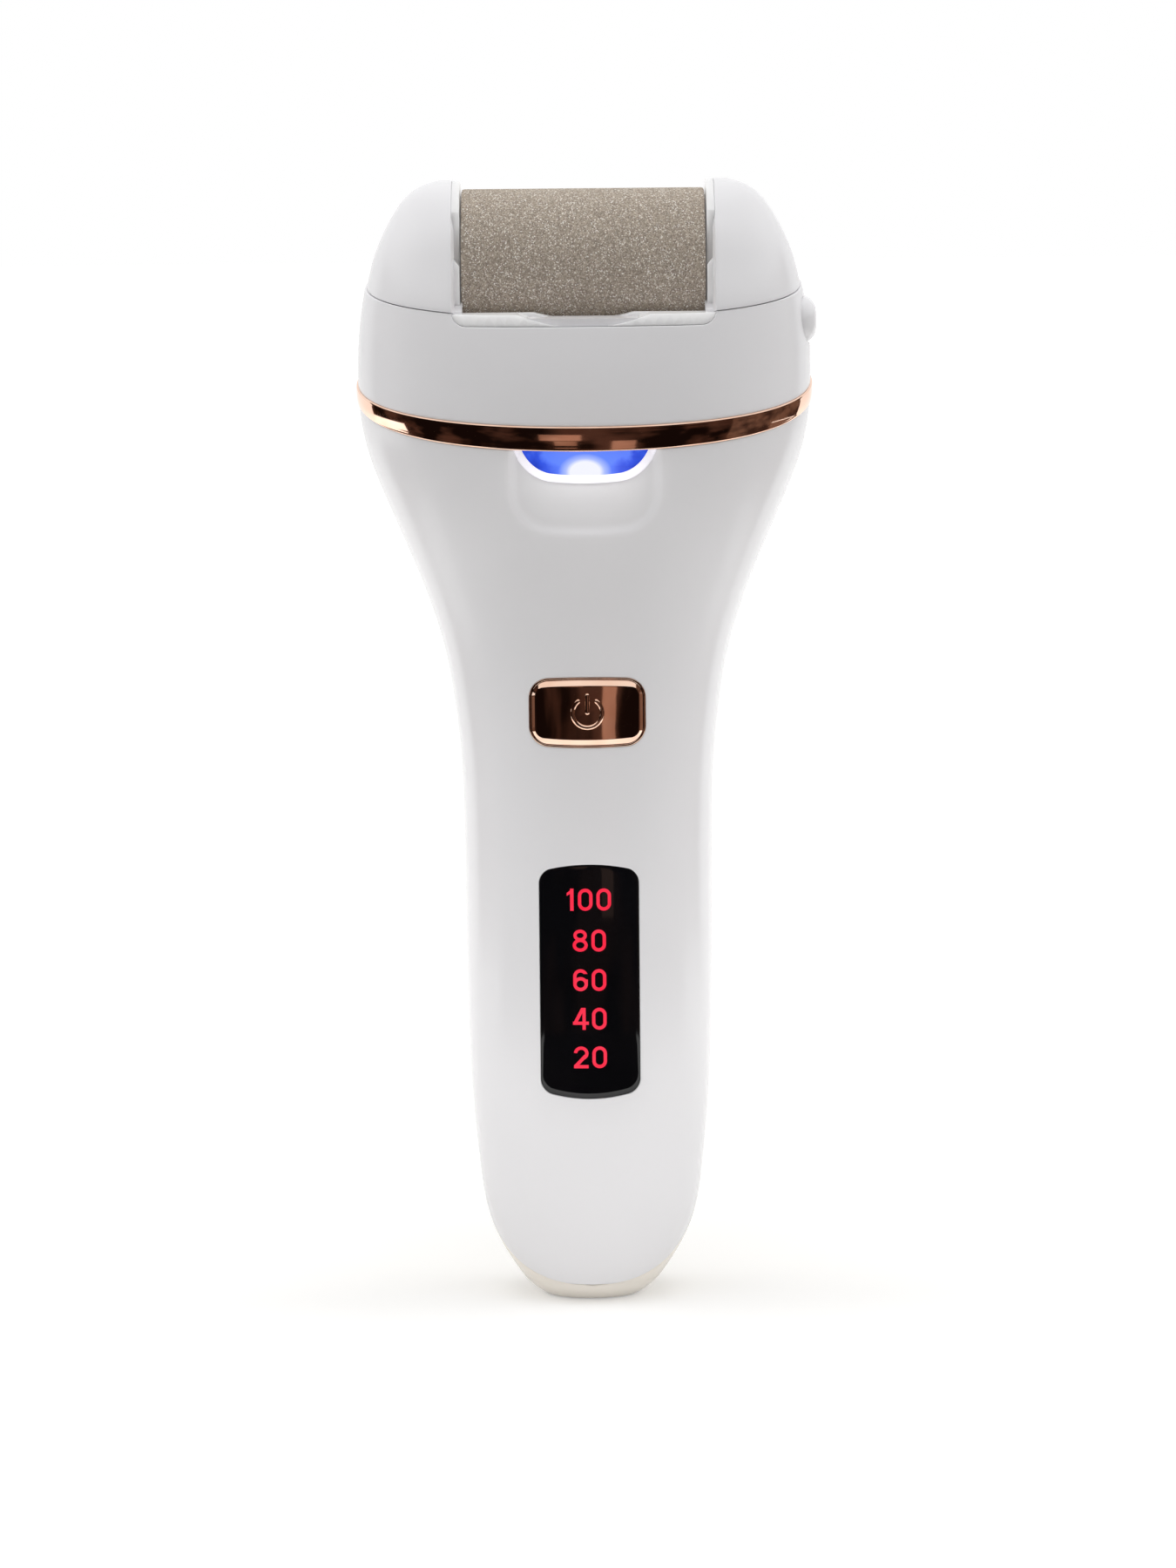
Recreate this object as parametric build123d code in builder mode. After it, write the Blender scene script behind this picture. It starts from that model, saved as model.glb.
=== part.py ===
from build123d import *
import math
import os


os.makedirs("parts", exist_ok=True)

# Electric callus remover, millimetres. Origin at the centre of the flat foot, +Z up, front towards -Y.

# ---------------------------------------------------------------- driving dimensions
# Body stations: height, half-width, half-depth
stations = [
    (0.0, 7.8, 6.8),
    (1.2, 9.5, 8.3),
    (3.5, 11.6, 9.9),
    (6.7, 13.7, 11.4),
    (10.0, 15.4, 12.6),
    (14.2, 16.8, 13.9),
    (21.0, 17.85, 15.2),
    (30.0, 18.75, 16.2),
    (45.0, 19.55, 16.9),
    (60.0, 19.7, 17.1),
    (75.0, 19.75, 16.9),
    (86.0, 20.05, 16.6),
    (95.0, 20.9, 16.5),
    (103.0, 22.2, 16.9),
    (111.5, 24.6, 17.9),
    (120.0, 27.9, 19.5),
    (128.0, 31.3, 21.3),
    (134.5, 33.8, 22.5),
    (140.6, 35.2, 23.0),
    (147.0, 35.6, 22.6),
    (153.0, 35.45, 21.5),
    (159.0, 34.75, 20.2),
    (165.0, 33.6, 18.9),
]
# Ear stations, which stand a little inside the body at the seam
ear_stations = [
    (150.0, 35.2, 21.6),
    (156.0, 34.85, 20.5),
    (161.0, 34.1, 19.35),
    (165.2, 33.15, 17.7),
    (169.3, 31.6, 15.9),
    (173.0, 29.6, 13.0),
    (175.6, 27.6, 9.9),
    (177.3, 25.0, 6.1),
    (178.0, 22.6, 2.6),
]
# Hollow of the ears
ear_hollow = [
    (150.0, 33.2, 19.6),
    (158.0, 32.6, 18.1),
    (165.0, 31.0, 15.5),
    (171.0, 28.3, 11.6),
    (174.6, 24.8, 6.6),
    (176.0, 21.8, 2.4),
]
squareness = 0.626  # handle length of every section's arcs; 0.552 would be an ellipse
wall = 2.0

# Trim ring and seams, as heights at y = 0 and slopes along y
ring_top = 146.4
ring_bottom = 144.0
ring_slope = 0.23
ring_front_slope = 0.296
ring_proud = 0.3
seam_height = 161.6
seam_slope = 0.19

# Roller
roller_z = 164.6
roller_radius = 12.0
roller_half = 19.0
plate_in = 19.2
plate_out = 20.4
ear_face = 20.5
ear_wall_out = 22.3
deck_top = 156.3
mouth_corner = 2.2

# Gear train, module 0.8
module = 0.8
backlash = 0.34
roller_teeth = 16
idler_teeth = 18
cross_teeth = 16
crown_teeth = 20
pinion_teeth = 10
idler_z = roller_z - module * (roller_teeth + idler_teeth) / 2
cross_z = idler_z - module * (idler_teeth + cross_teeth) / 2
gear_x = -23.0
gear_width = 3.2
pinion_radius = module * pinion_teeth / 2
crown_radius = module * crown_teeth / 2

# Motor and battery
motor_radius = 10.2
motor_low = 98.0
motor_high = 123.0
cell_radius = 9.2
cell_y = 4.6
cell_low = 27.0
cell_high = 92.0

# Front controls
button_z = 95.9
button_width = 17.9
button_height = 10.7
window_z = 53.2
window_width = 15.7
window_height = 37.4
lens_z = 135.0
board_front = -11.8
board_back = -10.6

# Release mechanism
release_z = 155.9
release_length = 12.0
release_height = 7.2
lever_x = 24.6
lever_z = 160.3
pin_radius = 2.2
pin_tip = 17.6
collar_x = 26.45

# Digits on the display: text and height on the body
digit_rows = [("100", 66.4), ("80", 59.9), ("60", 53.6), ("40", 47.4), ("20", 41.2)]
digit_height = 3.5

# ---------------------------------------------------------------- helpers
def section(z, half_width, half_depth):
    """One squarish oval section of the body, as four tangent arcs."""
    w = half_width
    d = half_depth
    k = squareness
    with BuildSketch(Plane.XY.offset(z)) as shape:
        with BuildLine():
            Bezier((w, 0), (w, d * k), (w * k, d), (0, d))
            Bezier((0, d), (-w * k, d), (-w, d * k), (-w, 0))
            Bezier((-w, 0), (-w, -d * k), (-w * k, -d), (0, -d))
            Bezier((0, -d), (w * k, -d), (w, -d * k), (w, 0))
        make_face()
    return shape.sketch.face()


def body_loft(grow, low=0, high=200, mode=Mode.ADD):
    """Loft of the body between two heights, with every section grown sideways."""
    sections = []
    for z, half_width, half_depth in stations:
        if low <= z <= high:
            lift = max(0.0, -grow * (1 - z / 14))
            sections.append(section(z + lift, half_width + grow, half_depth + grow))
    loft(sections, mode=mode)


def ear_loft(table, mode=Mode.ADD):
    """Loft of the ears or of their hollow."""
    loft([section(z, half_width, half_depth) for z, half_width, half_depth in table], mode=mode)


def side_prism(points, x_low=-60, x_high=60, mode=Mode.ADD):
    """Prism along X over a polygon given as (y, z) points."""
    with BuildSketch(Plane.YZ.offset(x_low)) as shape:
        with BuildLine():
            Polyline(*points, close=True)
        make_face()
    extrude(shape.sketch, amount=x_high - x_low, mode=mode)


def x_cylinder(radius, x_low, x_high, y, z, mode=Mode.ADD):
    """Cylinder along X between two x values."""
    with Locations(Location(((x_low + x_high) / 2, y, z), (0, 90, 0))):
        Cylinder(radius, x_high - x_low, mode=mode)


def z_cylinder(radius, z_low, z_high, x=0, y=0, mode=Mode.ADD):
    """Cylinder along Z between two heights."""
    with Locations((x, y, (z_low + z_high) / 2)):
        Cylinder(radius, z_high - z_low, mode=mode)


def y_cylinder(radius, y_low, y_high, x, z, mode=Mode.ADD):
    """Cylinder along Y between two y values."""
    with Locations(Location((x, (y_low + y_high) / 2, z), (90, 0, 0))):
        Cylinder(radius, y_high - y_low, mode=mode)


def block(x_low, x_high, y_low, y_high, z_low, z_high, mode=Mode.ADD):
    """Box between two corners."""
    with Locations(((x_low + x_high) / 2, (y_low + y_high) / 2, (z_low + z_high) / 2)):
        Box(x_high - x_low, y_high - y_low, z_high - z_low, mode=mode)


def gear_points(teeth, phase):
    """Outline of a spur gear with involute flanks; phase turns tooth 0 from the local x axis."""
    pitch = module * teeth / 2
    base = pitch * math.cos(math.radians(20))
    root = pitch - 1.2 * module
    tip = pitch + 0.95 * module
    half_pitch = math.pi / (2 * teeth) * (1 - backlash)
    inv_pitch = math.tan(math.radians(20)) - math.radians(20)
    radii = [max(root, base * 1.0001) + (tip - max(root, base * 1.0001)) * k / 3 for k in range(4)]
    flank = []
    for r in radii:
        a = math.acos(min(1.0, base / r))
        flank.append((r, half_pitch + inv_pitch - (math.tan(a) - a)))
    if root < base:
        flank.insert(0, (root, flank[0][1]))
    points = []
    for tooth in range(teeth):
        middle = phase + 2 * math.pi * tooth / teeth
        for r, half in flank:
            points.append((r * math.cos(middle - half), r * math.sin(middle - half)))
        for r, half in reversed(flank):
            points.append((r * math.cos(middle + half), r * math.sin(middle + half)))
    return points


def x_gear(teeth, phase, x_low, x_high, z):
    """Spur gear about an axis along X."""
    with BuildSketch(Plane.YZ.offset(x_low)) as shape:
        with BuildLine():
            Polyline(*[(py, pz + z) for py, pz in gear_points(teeth, phase)], close=True)
        make_face()
    extrude(shape.sketch, amount=x_high - x_low)


def front_outline(width, height, corner, bulge, z, y_low, y_high, mode=Mode.ADD):
    """Rounded rectangle with gently bulged ends, run through the front along Y."""
    half = width / 2
    side = height / 2 - bulge
    with BuildSketch(Plane.XZ.offset(-y_high)) as shape:
        with BuildLine():
            Line((-half, z - side), (-half, z + side))
            ThreePointArc((-half, z + side), (0, z + side + bulge), (half, z + side))
            Line((half, z + side), (half, z - side))
            ThreePointArc((half, z - side), (0, z - side - bulge), (-half, z - side))
        make_face()
        fillet(shape.vertices(), corner)
    extrude(shape.sketch, amount=y_high - y_low, mode=mode)


def x_slot(length, height, x_low, x_high, z, mode=Mode.ADD):
    """Stadium, long along Y, run along X."""
    with BuildSketch(Plane.YZ.offset(x_low)) as shape:
        with Locations((0, z)):
            SlotOverall(length, height)
    extrude(shape.sketch, amount=x_high - x_low, mode=mode)


def roller_mouth(half_width, z_low, mode=Mode.ADD):
    """Opening over the roller, run along Y, with rounded lower corners."""
    with BuildSketch(Plane.XZ.offset(-40)) as shape:
        with Locations((0, z_low + 20)):
            RectangleRounded(2 * half_width, 40, mouth_corner)
    extrude(shape.sketch, amount=80, mode=mode)


def shifted(line, up):
    """A (y, z) line moved up."""
    return [(y, z + up) for y, z in line]


# ---------------------------------------------------------------- seams, as (y, z) lines
far = 40
ring_bottom_front = ring_bottom - ring_front_slope * far
low_line = [(-far, ring_bottom_front), (0, ring_bottom), (far, ring_bottom + ring_slope * far)]
high_line = [(-far, ring_top - ring_slope * far), (far, ring_top + ring_slope * far)]
seam_line = [(-far, seam_height - seam_slope * far), (far, seam_height + seam_slope * far)]
frame_posts = [(x, y) for x in (-14.5, 14.5) for y in (-11, 11)]

# ---------------------------------------------------------------- head housing
# Cavity: thick wall beside the collar, thin above, with the inner walls left standing
with BuildPart() as head_cavity:
    cavity_sections = []
    for z, half_width, half_depth in stations:
        if z > 115:
            thick = 3.3 if z < 150 else wall
            cavity_sections.append(section(z, half_width - thick, half_depth - thick))
    loft(cavity_sections)
    side_prism([(-far, 100), (far, 100)] + list(reversed(seam_line)), mode=Mode.INTERSECT)
    block(ear_face, ear_wall_out, -30, 30, 146, 170, mode=Mode.SUBTRACT)
    block(-ear_wall_out, -ear_face, -30, 30, 146, 170, mode=Mode.SUBTRACT)
    block(-21, 21, -30, 30, deck_top - 2.2, 170, mode=Mode.SUBTRACT)
    x_cylinder(16.4, -21, 21, 0, roller_z, mode=Mode.SUBTRACT)
    for x, y in frame_posts:
        z_cylinder(2.6, 125, 154.5, x, y, mode=Mode.SUBTRACT)

with BuildPart() as head_collar:
    body_loft(-wall - 0.1, 115, 160)
    side_prism(shifted(low_line, -7) + list(reversed(shifted(high_line, 1))), mode=Mode.INTERSECT)

with BuildPart() as head_housing:
    body_loft(0, 115, 200)
    side_prism(high_line + list(reversed(seam_line)), mode=Mode.INTERSECT)
    add(head_collar.part)
    add(head_cavity.part, mode=Mode.SUBTRACT)
    # Trough for the roller, and the finger scoop in its front edge
    roller_mouth(ear_face, deck_top, mode=Mode.SUBTRACT)
    x_cylinder(14.4, -ear_face, ear_face, 0, roller_z, mode=Mode.SUBTRACT)
    y_cylinder(27, -40, -13.6, 0, 183.1, mode=Mode.SUBTRACT)
    # Posts run down below the collar, with pilot holes for the frame screws
    for x, y in frame_posts:
        z_cylinder(2.6, 125, 140, x, y)
        z_cylinder(0.9, 124, 138, x, y, mode=Mode.SUBTRACT)
    # Lugs for the release lever
    for y in (-5.25, 5.25):
        block(21.5, 27, y - 0.75, y + 0.75, 157.5, 159.6)
        block(22.4, 27, y - 0.75, y + 0.75, 159.5, 162.2)
    y_cylinder(0.9, -7, 7, lever_x, lever_z, mode=Mode.SUBTRACT)
    # Holes for the idler pin and the cross shaft bush, opening for the release button, light window
    x_cylinder(1.0, -23, -20, 0, idler_z, mode=Mode.SUBTRACT)
    x_slot(release_length + 0.3, release_height + 0.3, 28, 40, release_z, mode=Mode.SUBTRACT)
    block(-11, 11, -30, -15, 125, 137.2, mode=Mode.SUBTRACT)
head_housing.part.label = "head_housing"
export_step(head_housing.part, "parts/head_housing.step")

# ---------------------------------------------------------------- ear caps
with BuildPart() as left_cavity:
    ear_loft(ear_hollow)
    block(-60, -ear_wall_out, -40, 40, 140, 190, mode=Mode.INTERSECT)
    x_cylinder(3.4, -22.8, -21, 0, roller_z, mode=Mode.SUBTRACT)

with BuildPart() as left_ear_cap:
    ear_loft(ear_stations)
    side_prism(seam_line + [(far, 200), (-far, 200)], -60, -ear_face, mode=Mode.INTERSECT)
    add(left_cavity.part, mode=Mode.SUBTRACT)
    x_cylinder(2.06, -24, -20, 0, roller_z, mode=Mode.SUBTRACT)
left_ear_cap.part.label = "left_ear_cap"
export_step(left_ear_cap.part, "parts/left_ear_cap.step")

with BuildPart() as right_cavity:
    ear_loft(ear_hollow)
    block(ear_wall_out, 60, -40, 40, 140, 190, mode=Mode.INTERSECT)
    x_cylinder(3.4, 21, 22.8, 0, roller_z, mode=Mode.SUBTRACT)
    x_cylinder(3.6, 30.2, 34, 0, roller_z, mode=Mode.SUBTRACT)

with BuildPart() as right_ear_cap:
    ear_loft(ear_stations)
    side_prism(seam_line + [(far, 200), (-far, 200)], ear_face, 60, mode=Mode.INTERSECT)
    add(right_cavity.part, mode=Mode.SUBTRACT)
    x_cylinder(pin_radius + 0.05, 20, 24, 0, roller_z, mode=Mode.SUBTRACT)
    x_cylinder(1.5, 29, 31.1, 0, roller_z, mode=Mode.SUBTRACT)
right_ear_cap.part.label = "right_ear_cap"
export_step(right_ear_cap.part, "parts/right_ear_cap.step")

# ---------------------------------------------------------------- trim ring
with BuildPart() as trim_ring:
    body_loft(ring_proud, 115, 200)
    side_prism(low_line + list(reversed(high_line)), mode=Mode.INTERSECT)
    body_loft(-wall, 115, 200, mode=Mode.SUBTRACT)
trim_ring.part.label = "trim_ring"
export_step(trim_ring.part, "parts/trim_ring.step")

# ---------------------------------------------------------------- handle shells
boss_spots = [(-11.5, 20.5), (11.5, 20.5), (-14.6, 84), (14.6, 84), (-18.2, 110), (18.2, 110)]
post_spots = [(-7.6, 35.5), (7.6, 35.5), (-7.8, 78.5), (7.8, 78.5)]

# Parting of the shells: vertical above, sweeping forwards to the toe
toe_curve = [(0.5, 24), (-0.5, 16), (-2.7, 10.5), (-7.0, 5.0), (-9.7, 2.65)]
with BuildSketch(Plane.YZ.offset(-60)) as front_profile:
    with BuildLine():
        Polyline((-far, 2.2), (-far, 160), (0.5, 160), (0.5, 24))
        Spline(*toe_curve, tangents=((0, -1), (-1, -0.75)))
        Polyline((-9.7, 2.65), (-10.3, 2.2), (-far, 2.2))
    make_face()
with BuildSketch(Plane.YZ.offset(-60)) as rear_profile:
    with BuildLine():
        Polyline((far, -5), (far, 160), (0.5, 160), (0.5, 24))
        Spline(*toe_curve, tangents=((0, -1), (-1, -0.75)))
        Polyline((-9.7, 2.65), (-10.3, 2.2), (-far, 2.2), (-far, -5), (far, -5))
    make_face()

with BuildPart() as front_cavity:
    body_loft(-wall, 0, 160)
    for x, z in boss_spots:
        y_cylinder(2.6, -30, 0.45, x, z, mode=Mode.SUBTRACT)
    for x, z in post_spots:
        y_cylinder(1.8, -30, board_front, x, z, mode=Mode.SUBTRACT)

with BuildPart() as recess_floor:
    body_loft(-1.1, 100, 160)
with BuildPart() as window_floor:
    body_loft(-1.25, 20, 100)

with BuildPart() as recess_cut:
    front_outline(22.8, 17, 5.5, 1.0, 133.1, -40, 0)
    add(recess_floor.part, mode=Mode.SUBTRACT)
with BuildPart() as window_cut:
    front_outline(window_width + 0.1, window_height + 0.1, 1.8, 1.2, window_z, -40, 0)
    add(window_floor.part, mode=Mode.SUBTRACT)
with BuildPart() as lens_cut:
    front_outline(20.2, 13.2, 5.1, 1.3, 139.9, -40, 0)
    lens_limit = [(-far, 100), (0, 100), (0, ring_bottom + 1), (-far, ring_bottom_front + 1)]
    side_prism(lens_limit, mode=Mode.INTERSECT)

with BuildPart() as front_shell:
    body_loft(0, 0, 160)
    extrude(front_profile.sketch, amount=120, mode=Mode.INTERSECT)
    side_prism([(-far, -10)] + low_line + [(far, -10)], mode=Mode.INTERSECT)
    add(front_cavity.part, mode=Mode.SUBTRACT)
    add(recess_cut.part, mode=Mode.SUBTRACT)
    add(window_cut.part, mode=Mode.SUBTRACT)
    add(lens_cut.part, mode=Mode.SUBTRACT)
    # Opening for the button's frame and light slot behind the display
    front_outline(18.3, 11.2, 3.0, 0.35, button_z, -40, 0, mode=Mode.SUBTRACT)
    block(-6.5, 6.5, -40, 0, 37, 69.5, mode=Mode.SUBTRACT)
    for x, z in boss_spots:
        y_cylinder(1.2, -4.2, 2, x, z, mode=Mode.SUBTRACT)
    for x, z in post_spots:
        y_cylinder(0.7, -13.8, -5, x, z, mode=Mode.SUBTRACT)
front_shell.part.label = "front_shell"
export_step(front_shell.part, "parts/front_shell.step")

with BuildPart() as rear_cavity:
    body_loft(-wall, 0, 160)
    for x, z in boss_spots:
        y_cylinder(2.6, 0.5, 30, x, z, mode=Mode.SUBTRACT)
    # Ribs that hold the cell and the motor, and the shelf of the charging board
    for z in (36, 84):
        block(-30, 30, 0.6, 30, z - 0.8, z + 0.8, mode=Mode.SUBTRACT)
        z_cylinder(cell_radius + 0.1, z - 1, z + 1, 0, cell_y)
    for z in (104, 117):
        block(-30, 30, 0.6, 30, z - 0.8, z + 0.8, mode=Mode.SUBTRACT)
        z_cylinder(motor_radius + 0.1, z - 1, z + 1)
    block(-7.5, 7.5, 0.6, 30, 9.6, 11.2, mode=Mode.SUBTRACT)

with BuildPart() as rear_shell:
    body_loft(0, 0, 160)
    extrude(rear_profile.sketch, amount=120, mode=Mode.INTERSECT)
    side_prism([(-far, -10)] + low_line + [(far, -10)], mode=Mode.INTERSECT)
    add(rear_cavity.part, mode=Mode.SUBTRACT)
    for x, z in boss_spots:
        y_cylinder(1.15, -3.8, 1.5, x, z)
    # Mouth of the charging socket
    with BuildSketch(Plane.XZ.offset(-20)) as socket_mouth:
        with Locations((0, 14.0)):
            SlotOverall(9.6, 3.9)
    extrude(socket_mouth.sketch, amount=15, mode=Mode.SUBTRACT)
rear_shell.part.label = "rear_shell"
export_step(rear_shell.part, "parts/rear_shell.step")

# ---------------------------------------------------------------- roller cradle
with BuildPart() as deck_limit:
    body_loft(-0.1, 115, 200)
with BuildPart() as roller_cradle:
    # Tray with a flat edge in front and behind, and a side plate at each end
    roller_mouth(plate_out, deck_top + 0.05)
    add(deck_limit.part, mode=Mode.INTERSECT)
    x_cylinder(14.3, -plate_out, plate_out, 0, roller_z)
    block(-plate_out - 1, plate_out + 1, -40, 40, deck_top + 1.8, 190, mode=Mode.SUBTRACT)
    for side in (-1, 1):
        low_x = min(side * plate_in, side * plate_out)
        x_cylinder(13.4, low_x, low_x + plate_out - plate_in, 0, roller_z)
    x_cylinder(12.9, -plate_in, plate_in, 0, roller_z, mode=Mode.SUBTRACT)
    block(-plate_in, plate_in, -12.9, 12.9, 158, 190, mode=Mode.SUBTRACT)
    x_cylinder(3.0, -30, 30, 0, roller_z, mode=Mode.SUBTRACT)
    # Finger scoop
    y_cylinder(27, -40, -13.6, 0, 183.1, mode=Mode.SUBTRACT)
    y_cylinder(26.2, -13.7, -10, 0, 183.1, mode=Mode.SUBTRACT)
roller_cradle.part.label = "roller_cradle"
export_step(roller_cradle.part, "parts/roller_cradle.step")

# ---------------------------------------------------------------- roller
with BuildPart() as abrasive_sleeve:
    x_cylinder(roller_radius, -roller_half, roller_half, 0, roller_z)
    x_cylinder(9.6, -30, 30, 0, roller_z, mode=Mode.SUBTRACT)
    chamfer(abrasive_sleeve.edges().filter_by(GeomType.CIRCLE).sort_by(SortBy.RADIUS)[-2:], 0.4)
abrasive_sleeve.part.label = "abrasive_sleeve"
export_step(abrasive_sleeve.part, "parts/abrasive_sleeve.step")

with BuildPart() as roller_core:
    x_cylinder(9.55, -18.7, 18.7, 0, roller_z)
    x_cylinder(7.6, -30, 30, 0, roller_z, mode=Mode.SUBTRACT)
roller_core.part.label = "roller_core"
export_step(roller_core.part, "parts/roller_core.step")

with BuildPart() as drive_hub:
    x_cylinder(7.55, -18.7, -13.5, 0, roller_z)
    x_cylinder(9.4, -18.95, -18.7, 0, roller_z)
    with BuildSketch(Plane.YZ.offset(-20)) as hub_hex:
        with Locations((0, roller_z)):
            RegularPolygon(2.25, 6, major_radius=False)
    extrude(hub_hex.sketch, amount=5.2, mode=Mode.SUBTRACT)
drive_hub.part.label = "drive_hub"
export_step(drive_hub.part, "parts/drive_hub.step")

with BuildPart() as idler_hub:
    x_cylinder(7.55, 13.5, 18.7, 0, roller_z)
    x_cylinder(9.4, 18.7, 18.95, 0, roller_z)
    x_cylinder(pin_radius + 0.05, 16.8, 20, 0, roller_z, mode=Mode.SUBTRACT)
idler_hub.part.label = "idler_hub"
export_step(idler_hub.part, "parts/idler_hub.step")

# ---------------------------------------------------------------- gear train
with BuildPart() as drive_shaft:
    x_cylinder(2.0, -26.9, -19.8, 0, roller_z)
    with BuildSketch(Plane.YZ.offset(-19.9)) as shaft_hex:
        with Locations((0, roller_z)):
            RegularPolygon(2.2, 6, major_radius=False)
    extrude(shaft_hex.sketch, amount=4.8)
drive_shaft.part.label = "drive_shaft"
export_step(drive_shaft.part, "parts/drive_shaft.step")

with BuildPart() as roller_gear:
    x_gear(roller_teeth, -math.pi / 2, gear_x - gear_width, gear_x, roller_z)
    x_cylinder(2.0, -30, -20, 0, roller_z, mode=Mode.SUBTRACT)
roller_gear.part.label = "roller_gear"
export_step(roller_gear.part, "parts/roller_gear.step")

with BuildPart() as idler_gear:
    x_gear(idler_teeth, math.pi / 2 + math.pi / idler_teeth, gear_x - gear_width, gear_x, idler_z)
    x_cylinder(1.05, -30, -20, 0, idler_z, mode=Mode.SUBTRACT)
idler_gear.part.label = "idler_gear"
export_step(idler_gear.part, "parts/idler_gear.step")

with BuildPart() as idler_pin:
    x_cylinder(1.0, -26.9, -20.7, 0, idler_z)
    x_cylinder(2.0, -27.3, -26.4, 0, idler_z)
    x_cylinder(1.2, -26.35, -26.2, 0, idler_z)
idler_pin.part.label = "idler_pin"
export_step(idler_pin.part, "parts/idler_pin.step")

with BuildPart() as cross_gear:
    x_gear(cross_teeth, math.pi / 2, gear_x - gear_width, gear_x, cross_z)
    x_cylinder(1.5, -30, -20, 0, cross_z, mode=Mode.SUBTRACT)
cross_gear.part.label = "cross_gear"
export_step(cross_gear.part, "parts/cross_gear.step")

with BuildPart() as cross_shaft:
    x_cylinder(1.5, -26.9, 11.6, 0, cross_z)
cross_shaft.part.label = "cross_shaft"
export_step(cross_shaft.part, "parts/cross_shaft.step")

# Crown gear: a disc whose teeth point across to the pinion
crown_tip = pinion_radius - 0.7
crown_root = pinion_radius + 1.0
with BuildPart() as crown_tooth:
    with BuildSketch(Plane.XY.offset(cross_z - crown_radius - 1.0)):
        with BuildLine():
            Polyline(
                (crown_tip, -0.15),
                (crown_tip, 0.15),
                (crown_root + 0.3, 0.86),
                (crown_root + 0.3, -0.86),
                close=True,
            )
        make_face()
    extrude(amount=2.2)
with BuildPart() as crown_gear:
    x_cylinder(crown_radius + 1.2, crown_root, 7.0, 0, cross_z)
    x_cylinder(3.4, 7.0, 8.6, 0, cross_z)
    for tooth in range(crown_teeth):
        add(crown_tooth.part.rotate(Axis((0, 0, cross_z), (1, 0, 0)), 360 * tooth / crown_teeth))
    x_cylinder(1.5, 0, 20, 0, cross_z, mode=Mode.SUBTRACT)
crown_gear.part.label = "crown_gear"
export_step(crown_gear.part, "parts/crown_gear.step")

with BuildPart() as motor_pinion:
    with BuildSketch(Plane.XY.offset(126.8)) as pinion_profile:
        with BuildLine():
            Polyline(*gear_points(pinion_teeth, math.pi / pinion_teeth), close=True)
        make_face()
    extrude(pinion_profile.sketch, amount=5.0)
    z_cylinder(1.0, 120, 140, mode=Mode.SUBTRACT)
motor_pinion.part.label = "motor_pinion"
export_step(motor_pinion.part, "parts/motor_pinion.step")

with BuildPart() as gear_frame:
    with BuildSketch(Plane.XY.offset(motor_high + 0.05)) as frame_base:
        RectangleRounded(45, 27.2, 6)
        Circle(4.4, mode=Mode.SUBTRACT)
    extrude(amount=1.95)
    block(-22.2, -20.6, -6, 6, 124, 142)
    block(9.2, 11.0, -6, 6, 124, 142)
    block(-22, -20.6, -6, -4.6, 124, 142)
    # Foot ribs that stiffen the two uprights
    for y in (-5.2, 5.2):
        block(-20.8, -17.5, y - 0.6, y + 0.6, 124, 129)
        block(10.8, 13.0, y - 0.6, y + 0.6, 124, 129)
    x_cylinder(2.6, -24, 12, 0, cross_z, mode=Mode.SUBTRACT)
    for x, y in frame_posts:
        z_cylinder(1.2, 120, 127, x, y, mode=Mode.SUBTRACT)
    for y in (-6.6, 6.6):
        z_cylinder(0.9, 120, 127, 0, y, mode=Mode.SUBTRACT)
gear_frame.part.label = "gear_frame"
export_step(gear_frame.part, "parts/gear_frame.step")

with BuildPart() as shaft_bushes:
    for low_x, high_x in ((-22.7, -20.6), (8.7, 11.0)):
        x_cylinder(2.6, low_x, high_x, 0, cross_z)
    x_cylinder(3.2, -22.7, -22.2, 0, cross_z)
    x_cylinder(3.2, 8.7, 9.2, 0, cross_z)
    x_cylinder(1.55, -24, 12, 0, cross_z, mode=Mode.SUBTRACT)
shaft_bushes.part.label = "shaft_bushes"
export_step(shaft_bushes.part, "parts/shaft_bushes.step")

with BuildPart() as frame_screws:
    for x, y in frame_posts:
        z_cylinder(0.9, 122.5, 133, x, y)
        z_cylinder(1.9, 121.6, motor_high + 0.05, x, y)
        with Locations((x, y, 121.8)):
            Box(2.4, 0.5, 0.4, mode=Mode.SUBTRACT)
frame_screws.part.label = "frame_screws"
export_step(frame_screws.part, "parts/frame_screws.step")

with BuildPart() as motor_screws:
    for y in (-6.6, 6.6):
        z_cylinder(0.85, 121.9, 125.5, 0, y)
        z_cylinder(1.6, 125.0, 126.0, 0, y)
        with Locations((0, y, 125.8)):
            Box(2.0, 0.4, 0.4, mode=Mode.SUBTRACT)
motor_screws.part.label = "motor_screws"
export_step(motor_screws.part, "parts/motor_screws.step")

# ---------------------------------------------------------------- motor
with BuildPart() as motor_can:
    z_cylinder(motor_radius, motor_low, motor_high)
    z_cylinder(4.2, motor_high, motor_high + 1.2)
    z_cylinder(motor_radius - 0.7, motor_low - 1, motor_high - 1.0, mode=Mode.SUBTRACT)
    z_cylinder(2.6, motor_high - 2, motor_high + 0.4, mode=Mode.SUBTRACT)
    z_cylinder(1.05, motor_low, motor_high + 2, mode=Mode.SUBTRACT)
    for y in (-6.6, 6.6):
        z_cylinder(0.85, 121, 124, 0, y, mode=Mode.SUBTRACT)
motor_can.part.label = "motor_can"
export_step(motor_can.part, "parts/motor_can.step")

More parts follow.
